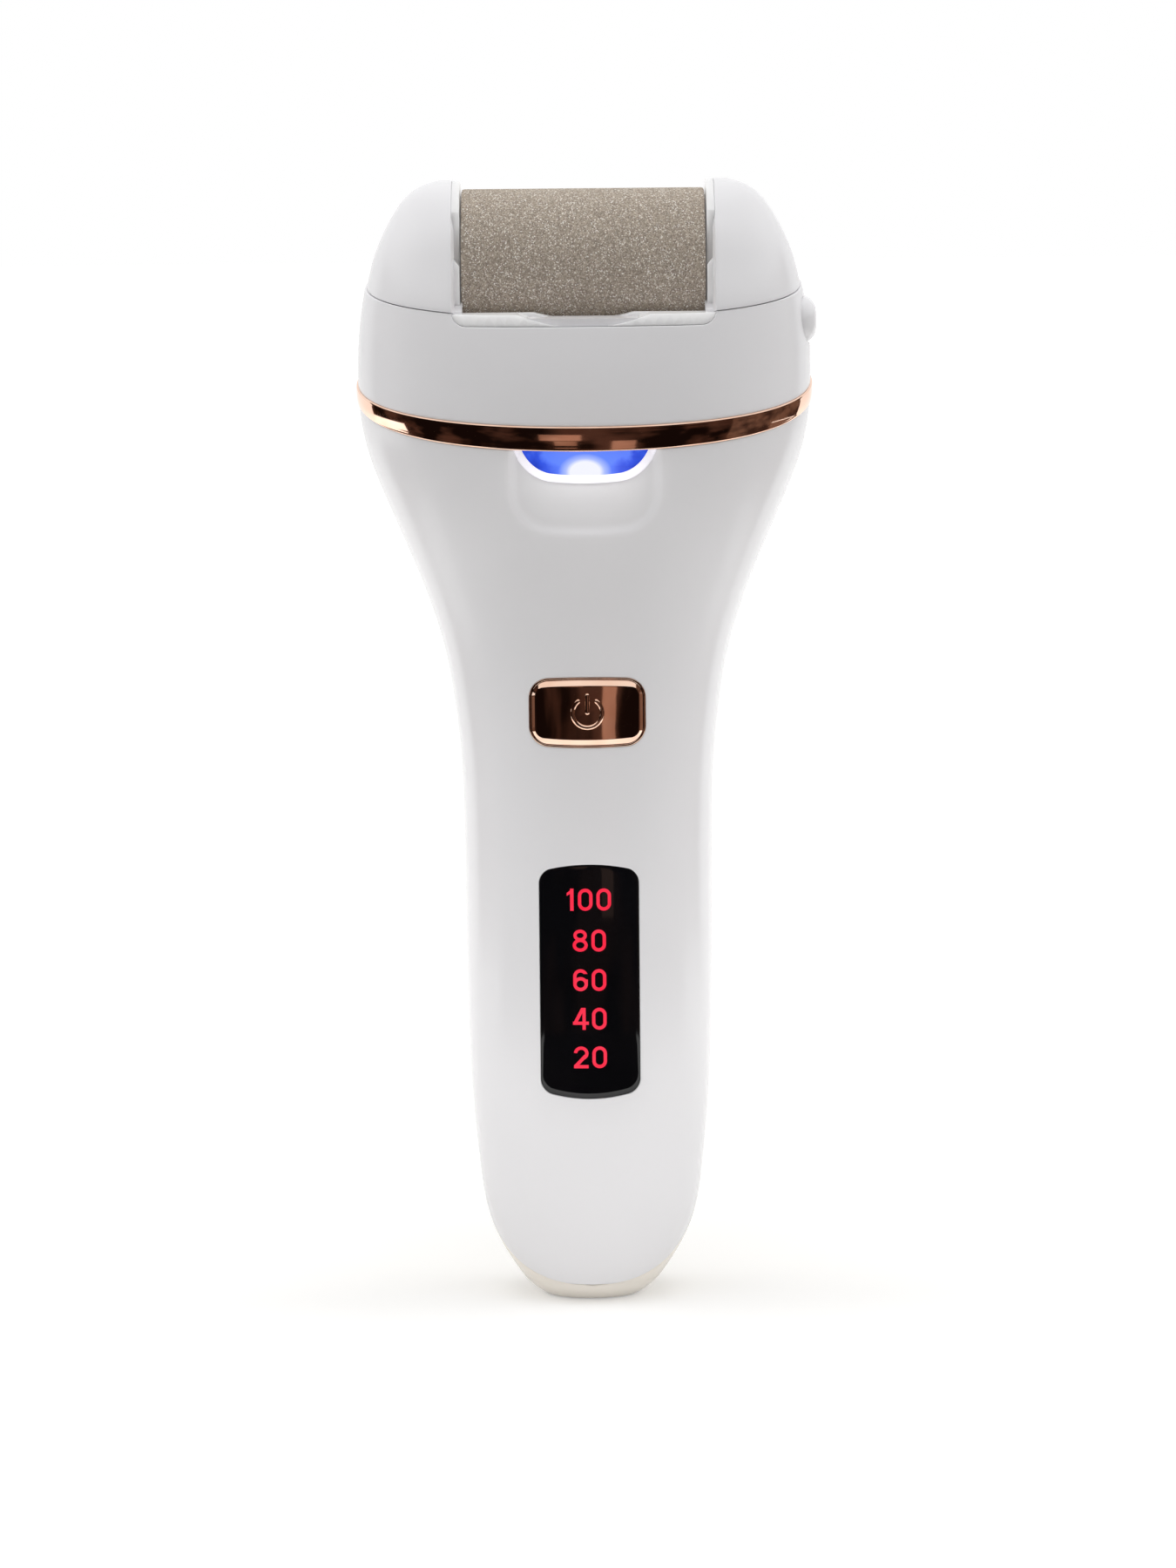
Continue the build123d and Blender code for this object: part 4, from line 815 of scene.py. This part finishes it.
def makeHeadDeck():
    # Floor of the mouth: level in front and behind, a trough round the roller between
    axis = middleOf("abrasive_sleeve")[2]
    trough, level = deck["trough"], np.full(8, mouth["deck"])
    half = math.acos((axis - mouth["deck"]) / trough)
    arc = np.linspace(-half, half, 41)
    run = np.linspace(0, 1, 9) * deck["apron"]
    y = np.concatenate([run[:-1] - deck["apron"] - trough * math.sin(half), trough * np.sin(arc),
                        trough * math.sin(half) + run[1:]])
    z = np.concatenate([level, axis - trough * np.cos(arc), level])
    x, y = np.meshgrid(np.linspace(-mouth["half"], mouth["half"], 42), y, indexing="ij")
    z = np.broadcast_to(z, x.shape)
    reach = -frontY(x, z) - deck["inside"]
    sheet = np.stack([x, np.clip(y, -reach, reach), z - 0.02], -1).reshape(-1, 3)
    points, faces = wallOf(sheet, gridFaces(*x.shape), deck["wall"], 0.02)
    made = makePiece("headDeck", points, faces, whiteAbs, "housing")


def makeCheek(side, name):
    # Upright plate beside the mouth, from the deck up to the ears' seam
    y, share = np.meshgrid(np.linspace(-1, 1, 41) * deck["cheekDepth"], np.linspace(0, 1, 9), indexing="ij")
    z = mouth["deck"] + 0.02 + share * (seamZ(y, -0.05) - mouth["deck"] - 0.02)
    reach = -frontY(np.full_like(z, mouth["half"] + deck["cheekReach"]), z) - deck["cheekInside"]
    x = np.full_like(z, side * (mouth["half"] + 0.02))
    sheet = np.stack([x, np.clip(y, -reach, reach), z], -1).reshape(-1, 3)
    faces = gridFaces(*z.shape)
    points, faces = wallOf(sheet, faces[:, ::-1] if side > 0 else faces, deck["cheekWall"], 0.02)
    made = makePiece(name, points, faces, whiteAbs, "housing")


# Ears
ear = {
    "heights": [150, 156, 161, 165.2, 169.3, 173, 175.6, 177.3, 178],
    "halfWidths": [35.2, 34.85, 34.1, 33.15, 31.6, 29.6, 27.6, 25.0, 22.6],
    "halfDepths": [21.6, 20.5, 19.35, 17.7, 15.9, 13.0, 9.9, 6.1, 2.6],
    "edgeRound": 0.1,
    "rows": 56,
    "columns": 84,
    "crowding": 1.3,           # rows come closer towards the top
    "hole": 2.6,               # radius of the shaft's hole
    "wallInset": 0.9,          # of the inner wall from the dome's edge
    "innerWall": 1.5,
    "rays": 160,
    "rayPoints": 12,
}


def earCurves():
    # Height, half-width and half-depth along the ear's rise, each a spline over the distance walked
    z, a, b = (np.array(ear[k], float) for k in ("heights", "halfWidths", "halfDepths"))
    walked = np.concatenate([[0], np.cumsum(np.hypot(np.diff(z), np.diff(b)))])
    return walked, smoothCurve(walked, z), smoothCurve(walked, a), smoothCurve(walked, b)


def earSheet():
    # Right ear's dome: rows from the seam plane to the top, columns from the mouth's front edge to its rear
    walked, earZ, earA, earB = earCurves()
    dense = np.linspace(0, walked[-1], 2000)
    up = 1 - (1 - np.linspace(0, 1, ear["rows"])) ** ear["crowding"]
    share, s = np.meshgrid(up, np.linspace(0, 1, ear["columns"]), indexing="ij")
    way = np.full_like(share, 12.0)  # first guess of the distance walked
    for _ in range(12):
        edge = quarterOf(np.clip(mouth["half"] / earA(way), 0, 1))
        turn = edge + s * (2 - 2 * edge)
        y = earB(way) * unitSection(turn)[1]
        low = np.interp(seamZ(y, 0.02), earZ(dense), dense)
        way = low + share * (walked[-1] - low)
    x, y = unitSection(turn)
    return np.stack([x * earA(way), y * earB(way), earZ(way)], -1)


def makeEar(side, name, node):
    # The dome, mirrored by side, given its wall
    sheet = earSheet()
    # Top closed by drawing the last row in to the middle line
    closing = [sheet[-1] * [1, f, 1] + [0, 0, 0.03 * (1 - f)] for f in (0.6, 0.25, 0.0)]
    closed = np.concatenate([sheet, np.stack(closing)])
    faces = gridFaces(*closed.shape[:2])
    points, faces = wallOf(closed.reshape(-1, 3) * [side, 1, 1], faces if side > 0 else faces[:, ::-1],
                           body["wall"], ear["edgeRound"])
    made = makePiece(name, points, faces, whiteAbs, "housing")
    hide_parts(node)
    makeEarWall(side, name + "Wall", sheet)


def makeEarWall(side, name, sheet):
    # Inner wall: rays from the roller's axis, from the shaft's hole out to the dome's edge or the seam
    axis = middleOf("abrasive_sleeve")[2]
    rim = np.concatenate([sheet[:, 0], sheet[::-1, -1]])
    angle = np.arctan2(rim[:, 2] - axis, rim[:, 1])
    far = np.hypot(rim[:, 2] - axis, rim[:, 1])
    angle = np.where(angle < -np.pi / 2, angle + 2 * np.pi, angle)
    order = np.argsort(angle)
    ray = np.linspace(-np.pi / 2, 1.5 * np.pi, ear["rays"], endpoint=False)
    reach = np.interp(ray, angle[order], far[order], left=99, right=99) - ear["wallInset"]
    sine = np.sin(ray) - earSeam["slope"] * np.cos(ray)
    seamReach = np.where(sine < -1e-3, (earSeam["height"] + 0.06 - axis) / np.minimum(sine, -1e-3), 99)
    steps = np.linspace(0, 1, ear["rayPoints"])[:, None]
    radius = ear["hole"] + steps * (np.minimum(reach, seamReach)[None] - ear["hole"])
    x = np.full_like(radius, side * (mouth["half"] + 0.02))
    plate = np.stack([x, radius * np.cos(ray), axis + radius * np.sin(ray)], -1)
    faces = gridFaces(*radius.shape, closed=True)
    faces = faces if side > 0 else faces[:, ::-1]
    points, faces = wallOf(plate.reshape(-1, 3), faces, ear["innerWall"], 0.05)
    made = makePiece(name, points, faces, whiteAbs, "housing")


# Controls
def onFrontAt(middle):
    # Placing on the body's front round a middle height, for outlineSurface and ridge
    def place(u, v, height):
        x, z = u, v + middle
        return np.stack([x, frontY(x, z, height), z], 1)
    return place


button = {
    "frame": (18.2, 11.1, 2.95, 0.35),
    "cap": (17.4, 10.3, 2.5, 0.35),
    "face": (16.35, 8.5, 1.3, 0.35),     # flat face inside the bevel
    "bevelLow": 0.1,
    "height": 0.55,
    "depth": -2.6,                       # of the cap's underside
    "points": 200,                       # round each outline
    "frameDepth": -1.4,
    "frameRows": [(0, 0.02), (0.02, 0.07), (0.07, 0.1), (0.17, 0.11),
                  (0.27, 0.1), (0.32, 0.07), (0.34, 0.02)],   # inset, height
}
symbol = {
    "ringRadius": 2.31,
    "stroke": 0.36,                      # half-width of the symbol's strokes
    "gap": 29.0,                         # half-angle of the gap, degrees
    "foot": 0.5,
    "height": 0.3,
    "barTop": 3.1,
    "barLength": 3.4,
    "barWider": 0.04,
}


def makeButtonFrame():
    # Plated frame: a narrow rounded band round the button's outline
    deep, rounded = button["frameDepth"], button["frameRows"]
    band = [(0, deep)] + rounded + [(rounded[-1][0], deep), (0, deep)]
    points, faces = outlineSurface(outlinePoints(*button["frame"], button["points"]),
                                   [(1, *row) for row in band], onFrontAt(buttonMiddle))
    made = makePiece("buttonFrame", points, faces, roseGold, "housing")
    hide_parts("button_frame")


def makePowerButton():
    # Plated cap: straight sides, then a flat bevel blended between two outlines, wider above and below
    outer, inner = (np.array(outlinePoints(*button[k], button["points"])) for k in ("cap", "face"))
    low, high = button["bevelLow"], button["height"]
    rings = [(outer * share, button["depth"]) for share in (0, 0.5, 1)] + [(outer, low - 0.06)]
    rings += [(outer + (inner - outer) * q, low + (high - low) * q)
              for q in (0.05, 0.12, 0.4, 0.7, 0.9, 0.97)]
    rings += [(inner * share, high) for share in (0.995, 0.97, 0.85, 0.7, 0.55, 0.4, 0.25, 0.12, 0.0)]
    place = onFrontAt(buttonMiddle)
    points = np.concatenate([place(*outline, height) for outline, height in rings])
    made = makePiece("powerButton", points, gridFaces(len(rings), button["points"], closed=True), roseGold,
                     "power_key")
    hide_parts("power_button")


def ridge(u, v, half, place):
    # Half-round bead along a path: across it (half * cos q, height * sin q), drawn in round at its ends
    du, dv = np.gradient(u), np.gradient(v)
    size = np.hypot(du, dv)
    walked = np.concatenate([[0], np.cumsum(np.hypot(np.diff(u), np.diff(v)))])
    fromEnd = np.minimum(walked, walked[-1] - walked)
    slim = np.sqrt(np.clip(1 - (1 - np.clip(fromEnd / half, 0, 1)) ** 2, 0, 1))[:, None]
    q = np.linspace(0, np.pi, 13)
    wide = half * np.cos(q) * slim
    high = symbol["foot"] + symbol["height"] * np.sin(q) * slim
    points = place((u[:, None] + dv[:, None] / size[:, None] * wide).ravel(),
                   (v[:, None] - du[:, None] / size[:, None] * wide).ravel(), high.ravel())
    return points, gridFaces(*high.shape, closed=True)


def makePowerSymbol():
    # Raised sign on the button: an open ring and a bar, each a half-round bead
    place = onFrontAt(buttonMiddle)
    ease = lambda count: 0.5 - 0.5 * np.cos(np.linspace(0, np.pi, count))  # 0 to 1, closer at both ends
    angle = np.radians(symbol["gap"] + (360 - 2 * symbol["gap"]) * ease(110))
    r, half = symbol["ringRadius"], symbol["stroke"]
    loop, loopFaces = ridge(r * np.sin(angle), r * np.cos(angle), half, place)
    bar, barFaces = ridge(np.zeros(40), symbol["barTop"] - symbol["barLength"] * ease(40),
                          half + symbol["barWider"], place)
    made = makePiece("powerSymbol", np.concatenate([loop, bar]),
                     np.concatenate([loopFaces, barFaces + len(loop)]), roseGold, "power_key")
    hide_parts("power_symbol")


window = {
    "outline": (15.7, 37.4, 1.75, 1.2),
    "depth": -1.1,
    "edge": [(0.0, -0.3), (0.05, -0.18), (0.15, -0.13)],   # inset, height
    "face": -0.12,
}


def makeWindow():
    # Pane closed below, with a small rounded edge, set a little below the shell and curved as it is
    rows = [(share, 0, window["depth"]) for share in (0, 0.5, 1)] + [(1, *row) for row in window["edge"]]
    rows += [(share, window["edge"][-1][0] * share, window["face"]) for share in np.linspace(0.96, 0, 20)]
    points, faces = outlineSurface(outlinePoints(*window["outline"], 240), rows, onFrontAt(windowMiddle))
    made = makePiece("displayWindow", points, faces, blackAcrylic, "housing")
    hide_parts("display_window")


lens = {
    "outline": (20.6, 13.0, 5.0, 1.3),
    "cutAbove": -2.2,          # above this, from the outline's middle, the ring covers it
    "below": -1.0,             # under the body's face
    "thick": 0.9,
    "rim": 1.1,                # width of the collar
    "rimWall": 0.4,
    "rimDrop": 0.22,           # how much deeper the collar is at the lens
    "ringNear": 137.5,         # first guess of the ring's height over the lens
}


def lensCurve(grow, count=120):
    # Lower arc of the lens's outline, widened by grow, at points evenly spread along it
    width, height, corner, bulge = lens["outline"]
    u, v = outlinePoints(width + 2 * grow, height + 2 * grow, corner + grow, bulge, 4 * count)
    keep = np.flatnonzero(v < lens["cutAbove"])
    keep = keep[np.argsort(np.arctan2(v[keep], u[keep]))]
    u, v = u[keep], v[keep]
    along = np.concatenate([[0], np.cumsum(np.hypot(np.diff(u), np.diff(v)))])
    even = np.linspace(0, along[-1], 2 * count)
    return np.interp(even, along, u), np.interp(even, along, v) + lensMiddle


def underRing(x, z, grow):
    # Height, lowered where needed so that the point stays under the ring; also the highest it may be
    top = np.full_like(x, lens["ringNear"])
    for _ in range(6):
        top = ringLow(frontY(x, top, grow)) - 0.03
    return np.minimum(z, top), top


def makeLens():
    # Each row joins two opposite points of the lower arc's height, from the outline up to the ring's plane
    x, low = lensCurve(0.0)
    low, top = underRing(x, low, lens["below"])
    share = np.concatenate([[0, 0.02, 0.05], np.linspace(0.1, 1, 16)])[:, None]
    z = low + share * (top - low)
    x = np.broadcast_to(x, z.shape)
    points = np.stack([x, frontY(x, z, lens["below"]), z], -1).reshape(-1, 3)
    points, faces = wallOf(points, gridFaces(*z.shape), lens["thick"], 0.06)
    made = makePiece("ledLens", points, faces, blueLens, "housing")
    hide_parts("led_lens")


def makeLensRim():
    # Sloping collar round the lens: its rows are the arc widened step by step, deeper towards the lens
    rows = []
    for share in np.linspace(0, 1, 7):
        grow = 0.02 + lens["rim"] * (1 - share)
        x, z = lensCurve(grow)
        for _ in range(8):
            depth = recessDepth(x, z) - 0.03 + lens["rimDrop"] * share ** 1.5
            z = np.minimum(z, ringLow(frontY(x, z) + depth) - 0.05)
        rows.append(np.stack([x, frontY(x, z) + depth, z], -1))
    sheet = np.stack(rows)
    faces = gridFaces(*sheet.shape[:2])[:, ::-1]
    points, faces = wallOf(sheet.reshape(-1, 3), faces, lens["rimWall"], 0.02)
    # The collar's material paints the lamp's glow on it
    made = makePiece("lensRim", points, faces, paintedGlowRim, "housing")


release = {"outline": (12.0, 7.2, 3.58, 0), "round": 2.2, "length": 5.2}


def makeReleaseButton():
    # Domed stadium: rows step in round a large edge radius and close at the crown
    low, high = boxOf("release_button")
    middle, crown = (low[2] + high[2]) / 2, high[0]
    r = release["round"]
    rows = [(share, 0, crown - release["length"]) for share in (0, 0.5, 1)] + [(1, 0, crown - r)]
    rows += [(1, r * (1 - math.cos(q)), crown - r + r * math.sin(q))
             for q in np.radians([15, 30, 45, 60, 75, 90])]
    rows += [(share, r * share, crown) for share in (0.66, 0.33, 0.0)]
    place = lambda u, v, height: np.stack([np.full_like(u, height), u, v + middle], 1)
    points, faces = outlineSurface(outlinePoints(*release["outline"], 140), rows, place)
    made = makePiece("releaseButton", points, faces, whiteAbs, "release_key")
    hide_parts("release_button")


sleeve = {"inner": 9.62, "chamfer": 0.45}


def makeSleeve():
    # Abrasive sleeve: a tube's profile turned about the roller's axis
    low, high = boxOf("abrasive_sleeve")
    half, outer, axis = (high[0] - low[0]) / 2, (high[2] - low[2]) / 2, (low[2] + high[2]) / 2
    inner, chamfer = sleeve["inner"], sleeve["chamfer"]
    profile = [(-half, inner), (-half, outer - chamfer), (-half + 0.12, outer - 0.12)]
    profile += [(x, outer) for x in np.linspace(-half + chamfer, half - chamfer, 60)]
    profile += [(half - 0.12, outer - 0.12), (half, outer - chamfer), (half, inner), (-half, inner)]
    angle = np.linspace(0, 2 * np.pi, 200, endpoint=False)
    points = [np.stack([np.full_like(angle, x), -r * np.cos(angle), axis + r * np.sin(angle)], 1)
              for x, r in profile]
    faces = gridFaces(len(profile), len(angle), closed=True)
    made = makePiece("abrasiveSleeve", np.concatenate(points), faces, grit, "roller")
    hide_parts("abrasive_sleeve")


def copyOf(node, name, material):
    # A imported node, copied, under another name and in another material
    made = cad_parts[node].copy()
    made.data = made.data.copy()
    made.name = name
    made.data.materials.clear()
    made.data.materials.append(material)
    made.color = (1, 1, 1, 1)
    bpy.context.scene.collection.objects.link(made)
    return made


cradle = {"edge": 0.3, "edgeAngle": 50, "smoothAngle": 35}  # width of the rounding, and degrees


def makeCradle():
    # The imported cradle: points joined, edges rounded by a bevel, shaded smooth across the fine facets
    made = copyOf("roller_cradle", "rollerCradle", milkyPc)
    loose = bmesh.new()
    loose.from_mesh(made.data)
    bmesh.ops.remove_doubles(loose, verts=loose.verts, dist=2e-6)
    loose.to_mesh(made.data)
    loose.free()
    made.data.polygons.foreach_set("use_smooth", np.ones(len(made.data.polygons), bool))
    made.data.set_sharp_from_angle(angle=math.radians(cradle["smoothAngle"]))
    edge = made.modifiers.new("roundedEdges", "BEVEL")
    edge.width = cradle["edge"] / 1000
    edge.segments = 3
    edge.limit_method = "ANGLE"
    edge.angle_limit = math.radians(cradle["edgeAngle"])
    edge.use_clamp_overlap = True
    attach(made, "housing")
    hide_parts("roller_cradle")


def makePinSpring():
    # The imported spring, copied in ground steel with a mesh of its own; in the device it shortens against
    # the head's wall as the pin draws back
    made = copyOf("pin_spring", "pinSpring", groundSteel)
    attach(made, "housing")
    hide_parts("pin_spring")
    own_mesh(made)


makeFrontShell()
makeRearShell()
makeTrimRing()
makeHeadWall()
makeHeadDeck()
makeCheek(-1, "leftCheek")
makeCheek(1, "rightCheek")
makeEar(-1, "leftEar", "left_ear_cap")
makeEar(1, "rightEar", "right_ear_cap")
makeButtonFrame()
makePowerButton()
makePowerSymbol()
makeWindow()
makeLens()
makeLensRim()
makeReleaseButton()
makeSleeve()
makeCradle()
makePinSpring()

# Finishes of the nodes that are shown as packed
finishes = [
    (redGlow, "display_digits"),
    (darkNylon, "drive_hub idler_hub switch_body switch_plunger socket_tongue motor_end_cap light_box "
                "board_parts"),
    (greyNylon, "roller_core roller_gear idler_gear cross_gear crown_gear motor_pinion gear_frame "
                "release_lever"),
    (groundSteel, "drive_shaft idler_pin cross_shaft frame_screws motor_screws motor_shaft board_screws "
                  "retaining_pin lever_pin"),
    (sinteredBronze, "shaft_bushes motor_rotor"),
    (nickelPlate, "motor_can cell_tabs charging_socket motor_terminals"),
    (ferrite, "motor_magnets"),
    (cellSleeve, "battery_cell"),
    (solderMask, "main_board charge_board led_board"),
    (paleDiffuser, "led_emitters digit_emitters"),
    (redSilicone, "motor_leads cell_leads charge_leads led_leads"),
]
for finish, names in finishes:
    for name in names.split():
        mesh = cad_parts[name].data
        mesh.materials.clear()
        mesh.materials.append(finish)
        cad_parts[name].color = (1, 1, 1, 1)
print("finishes given to", sum(len(names.split()) for _, names in finishes), "nodes")


# Stage
def stageMaterial(name, shade, darker):
    # Card lit unevenly: soft patches of two shades, 60 mm across
    made = bpy.data.materials.new(name)
    tree = emptyTree(made)
    where = addNode(tree, "TexCoord").outputs["Object"]
    patch = addNode(tree, "TexNoise", Vector=where, Scale=1000 / 60, Detail=3.0)
    tint = addNode(tree, "ValToRGB", {"stops": [(0.44, darker), (0.58, shade)]}, Fac=patch)
    glow = addNode(tree, "Emission", Color=tint, Strength=1.0)
    addNode(tree, "OutputMaterial", Surface=glow)
    return made


def glossOnly(card):
    # Seen in reflections, and by nothing else
    for kind in ("camera", "diffuse", "transmission", "volume_scatter", "shadow"):
        setattr(card, "visible_" + kind, False)


def addCard(name, points, faces, material):
    # A sheet in metres with its material, linked into the scene
    mesh = bpy.data.meshes.new(name)
    mesh.from_pydata(points, [], faces)
    mesh.materials.append(material)
    card = bpy.data.objects.new(name, mesh)
    bpy.context.scene.collection.objects.link(card)
    return card


def levelCard(name, middle, size, material):
    # A level rectangle
    x, y = size[0] / 2, size[1] / 2
    card = addCard(name, [(-x, -y, 0), (x, -y, 0), (x, y, 0), (-x, y, 0)], [(0, 1, 2, 3)], material)
    card.location = middle
    return card


def arcCard(name, turnLow, turnHigh, low, high, shade, darker, radius):
    # Upright strip on a circle round the object, seen only in its gloss; turns in degrees from the front,
    # right positive
    turn = np.radians(np.linspace(turnLow, turnHigh, max(2, int(abs(turnHigh - turnLow) / 3))))
    foot = np.stack([radius * np.sin(turn), -radius * np.cos(turn), np.full_like(turn, low)], 1)
    card = addCard(name, np.concatenate([foot, foot + [0, 0, high - low]]).tolist(),
                   gridFaces(2, len(turn)).tolist(), stageMaterial(name + " paint", shade, darker))
    glossOnly(card)


def seenDirectly(tree):
    # 1 for rays from the camera, in gloss and through clear parts, 0 for the light that falls on things
    ray = addNode(tree, "LightPath").outputs
    either = {"operation": "MAXIMUM"}
    seen = addNode(tree, "Math", either, _0=ray["Is Camera Ray"], _1=ray["Is Glossy Ray"])
    return addNode(tree, "Math", either, _0=seen, _1=ray["Is Transmission Ray"])


# Near the object the glow is weaker: partly offsetting stronger lamp light, partly painted shade round the
# foot
floorGlow = {"near": 0.28, "far": 0.75, "from": 0.02, "to": 0.25}  # strengths, and metres from the object


def makeFloor():
    # Pale floor: its own shade plus a glow where seen, so that it reads white but keeps the shadow. The glow
    # is weaker near the object, partly to offset the lamps' stronger light there and partly as painted shade
    # that deepens the shadow round the foot
    floor = bpy.data.materials.new("pale studio floor")
    tree = emptyTree(floor)
    matt = addNode(tree, "BsdfDiffuse", Color=colour("E8E7E5"))
    where = addNode(tree, "TexCoord").outputs["Object"]
    away = addNode(tree, "VectorMath", {"operation": "LENGTH"}, _0=where).outputs["Value"]
    share = addNode(tree, "MapRange", {"interpolation_type": "SMOOTHSTEP"}, Value=away,
                    From_Min=floorGlow["from"], From_Max=floorGlow["to"],
                    To_Min=floorGlow["near"], To_Max=floorGlow["far"])
    level = addNode(tree, "Math", {"operation": "MULTIPLY"}, _0=seenDirectly(tree), _1=share)
    glow = addNode(tree, "Emission", Color=(1, 1, 1, 1), Strength=level)
    both = addNode(tree, "AddShader", _0=matt, _1=glow)
    addNode(tree, "OutputMaterial", Surface=both)
    levelCard("studioFloor", (0, 0, -0.0002), (6, 6), floor)


def makeWorld():
    # White where seen, and 0.4 as strong as light
    world = bpy.data.worlds.new("studio")
    bpy.context.scene.world = world
    tree = emptyTree(world)
    level = addNode(tree, "MapRange", Value=seenDirectly(tree), To_Min=0.40, To_Max=1.0)
    back = addNode(tree, "Background", Color=(1, 1, 1, 1), Strength=level)
    addNode(tree, "OutputWorld", Surface=back)


def addLamp(name, middle, size, power, target):
    # Area lamp in metres and watts, aimed at target; it lights but isn't seen
    lamp = bpy.data.lights.new(name, "AREA")
    lamp.shape = "RECTANGLE"
    lamp.size, lamp.size_y = size
    lamp.energy = power
    made = bpy.data.objects.new(name, lamp)
    made.location = middle
    way = np.array(target) - np.array(middle)
    yaw = math.atan2(-way[0], way[1])
    pitch = math.atan2(way[2], math.hypot(way[0], way[1]))
    made.rotation_euler = (math.pi / 2 + pitch, 0, yaw)
    made.visible_glossy = False
    made.visible_camera = False
    bpy.context.scene.collection.objects.link(made)


makeFloor()
makeWorld()
addLamp("leftSoftbox", (-0.75, 0.1, 0.35), (0.5, 0.9), 2.1, (0, 0, 0.1))
addLamp("rightSoftbox", (0.75, 0.1, 0.35), (0.5, 0.9), 2.1, (0, 0, 0.1))
addLamp("topSoftbox", (0, -0.05, 0.85), (0.7, 0.7), 3.0, (0, 0, 0.1))
addLamp("lensSpill", (0, -0.0262, 0.1365), (0.016, 0.003), 0.00045, (0, -0.0215, 0.1265))
addLamp("lowFill", (0, -0.10, 0.02), (0.2, 0.03), 0.030, (0, 0, 0.02))

# Dark room in front of the object, with a few lighter things in it, as its mirror parts show:
# turns in degrees from the front, heights, two shades, radius
for card in (
    ("darkFront", -76, 52, 0.0, 0.22, "4A342C", "140C0A", 0.200),
    ("darkLeftHigh", -112, -76, 0.115, 0.22, "4A342C", "140C0A", 0.200),
    ("brownRight", 52, 84, 0.0, 0.22, "6E564A", "3A2A24", 0.200),
    ("darkRightHigh", 84, 118, 0.100, 0.22, "6E564A", "3A2A24", 0.200),
    ("brownSideLeft", -115, -76, 0.025, 0.086, "7C6256", "5A443A", 0.200),
    ("brownSideRight", 84, 115, 0.025, 0.098, "7C6256", "5A443A", 0.200),
    ("warmBlock", -12, -1, 0.100, 0.126, "B08C7C", "8C6C5E", 0.198),
    ("warmPatch", -8, -2, 0.078, 0.098, "A08070", "8C6C5E", 0.198),
    ("warmStrip", 7, 14, 0.035, 0.098, "A88474", "8C6C5E", 0.198),
):
    arcCard(*card)
glossOnly(levelCard("darkTable", (0, -0.155, 0.0004), (0.2, 0.09),
                    stageMaterial("darkTable paint", "241A16", "140C0A")))
print("stage, cards and lamps set")

# Camera
view = {
    "distance": 0.900,     # from the handle's middle
    "aimHeight": 0.089,
    "elevation": 8.0,
    "tipDown": 0.428,      # the frame sits a little lower than the aim
    "roll": 0.52,
    "lens": 129.95,
}
camera = bpy.data.cameras.new("camera")
camera.sensor_fit = "VERTICAL"
camera.sensor_height = 36.0
camera.lens = view["lens"]
camera.clip_start = 0.05
camera.clip_end = 20
eye = bpy.data.objects.new("camera", camera)
lift = math.radians(view["elevation"])
eye.location = (0, -view["distance"] * math.cos(lift), view["aimHeight"] + view["distance"] * math.sin(lift))
eye.rotation_mode = "ZYX"
eye.rotation_euler = (math.radians(90 - view["elevation"] - view["tipDown"]), 0, math.radians(-view["roll"]))
bpy.context.scene.collection.objects.link(eye)
bpy.context.scene.camera = eye
bpy.context.scene.view_settings.view_transform = "Standard"
print("camera set")
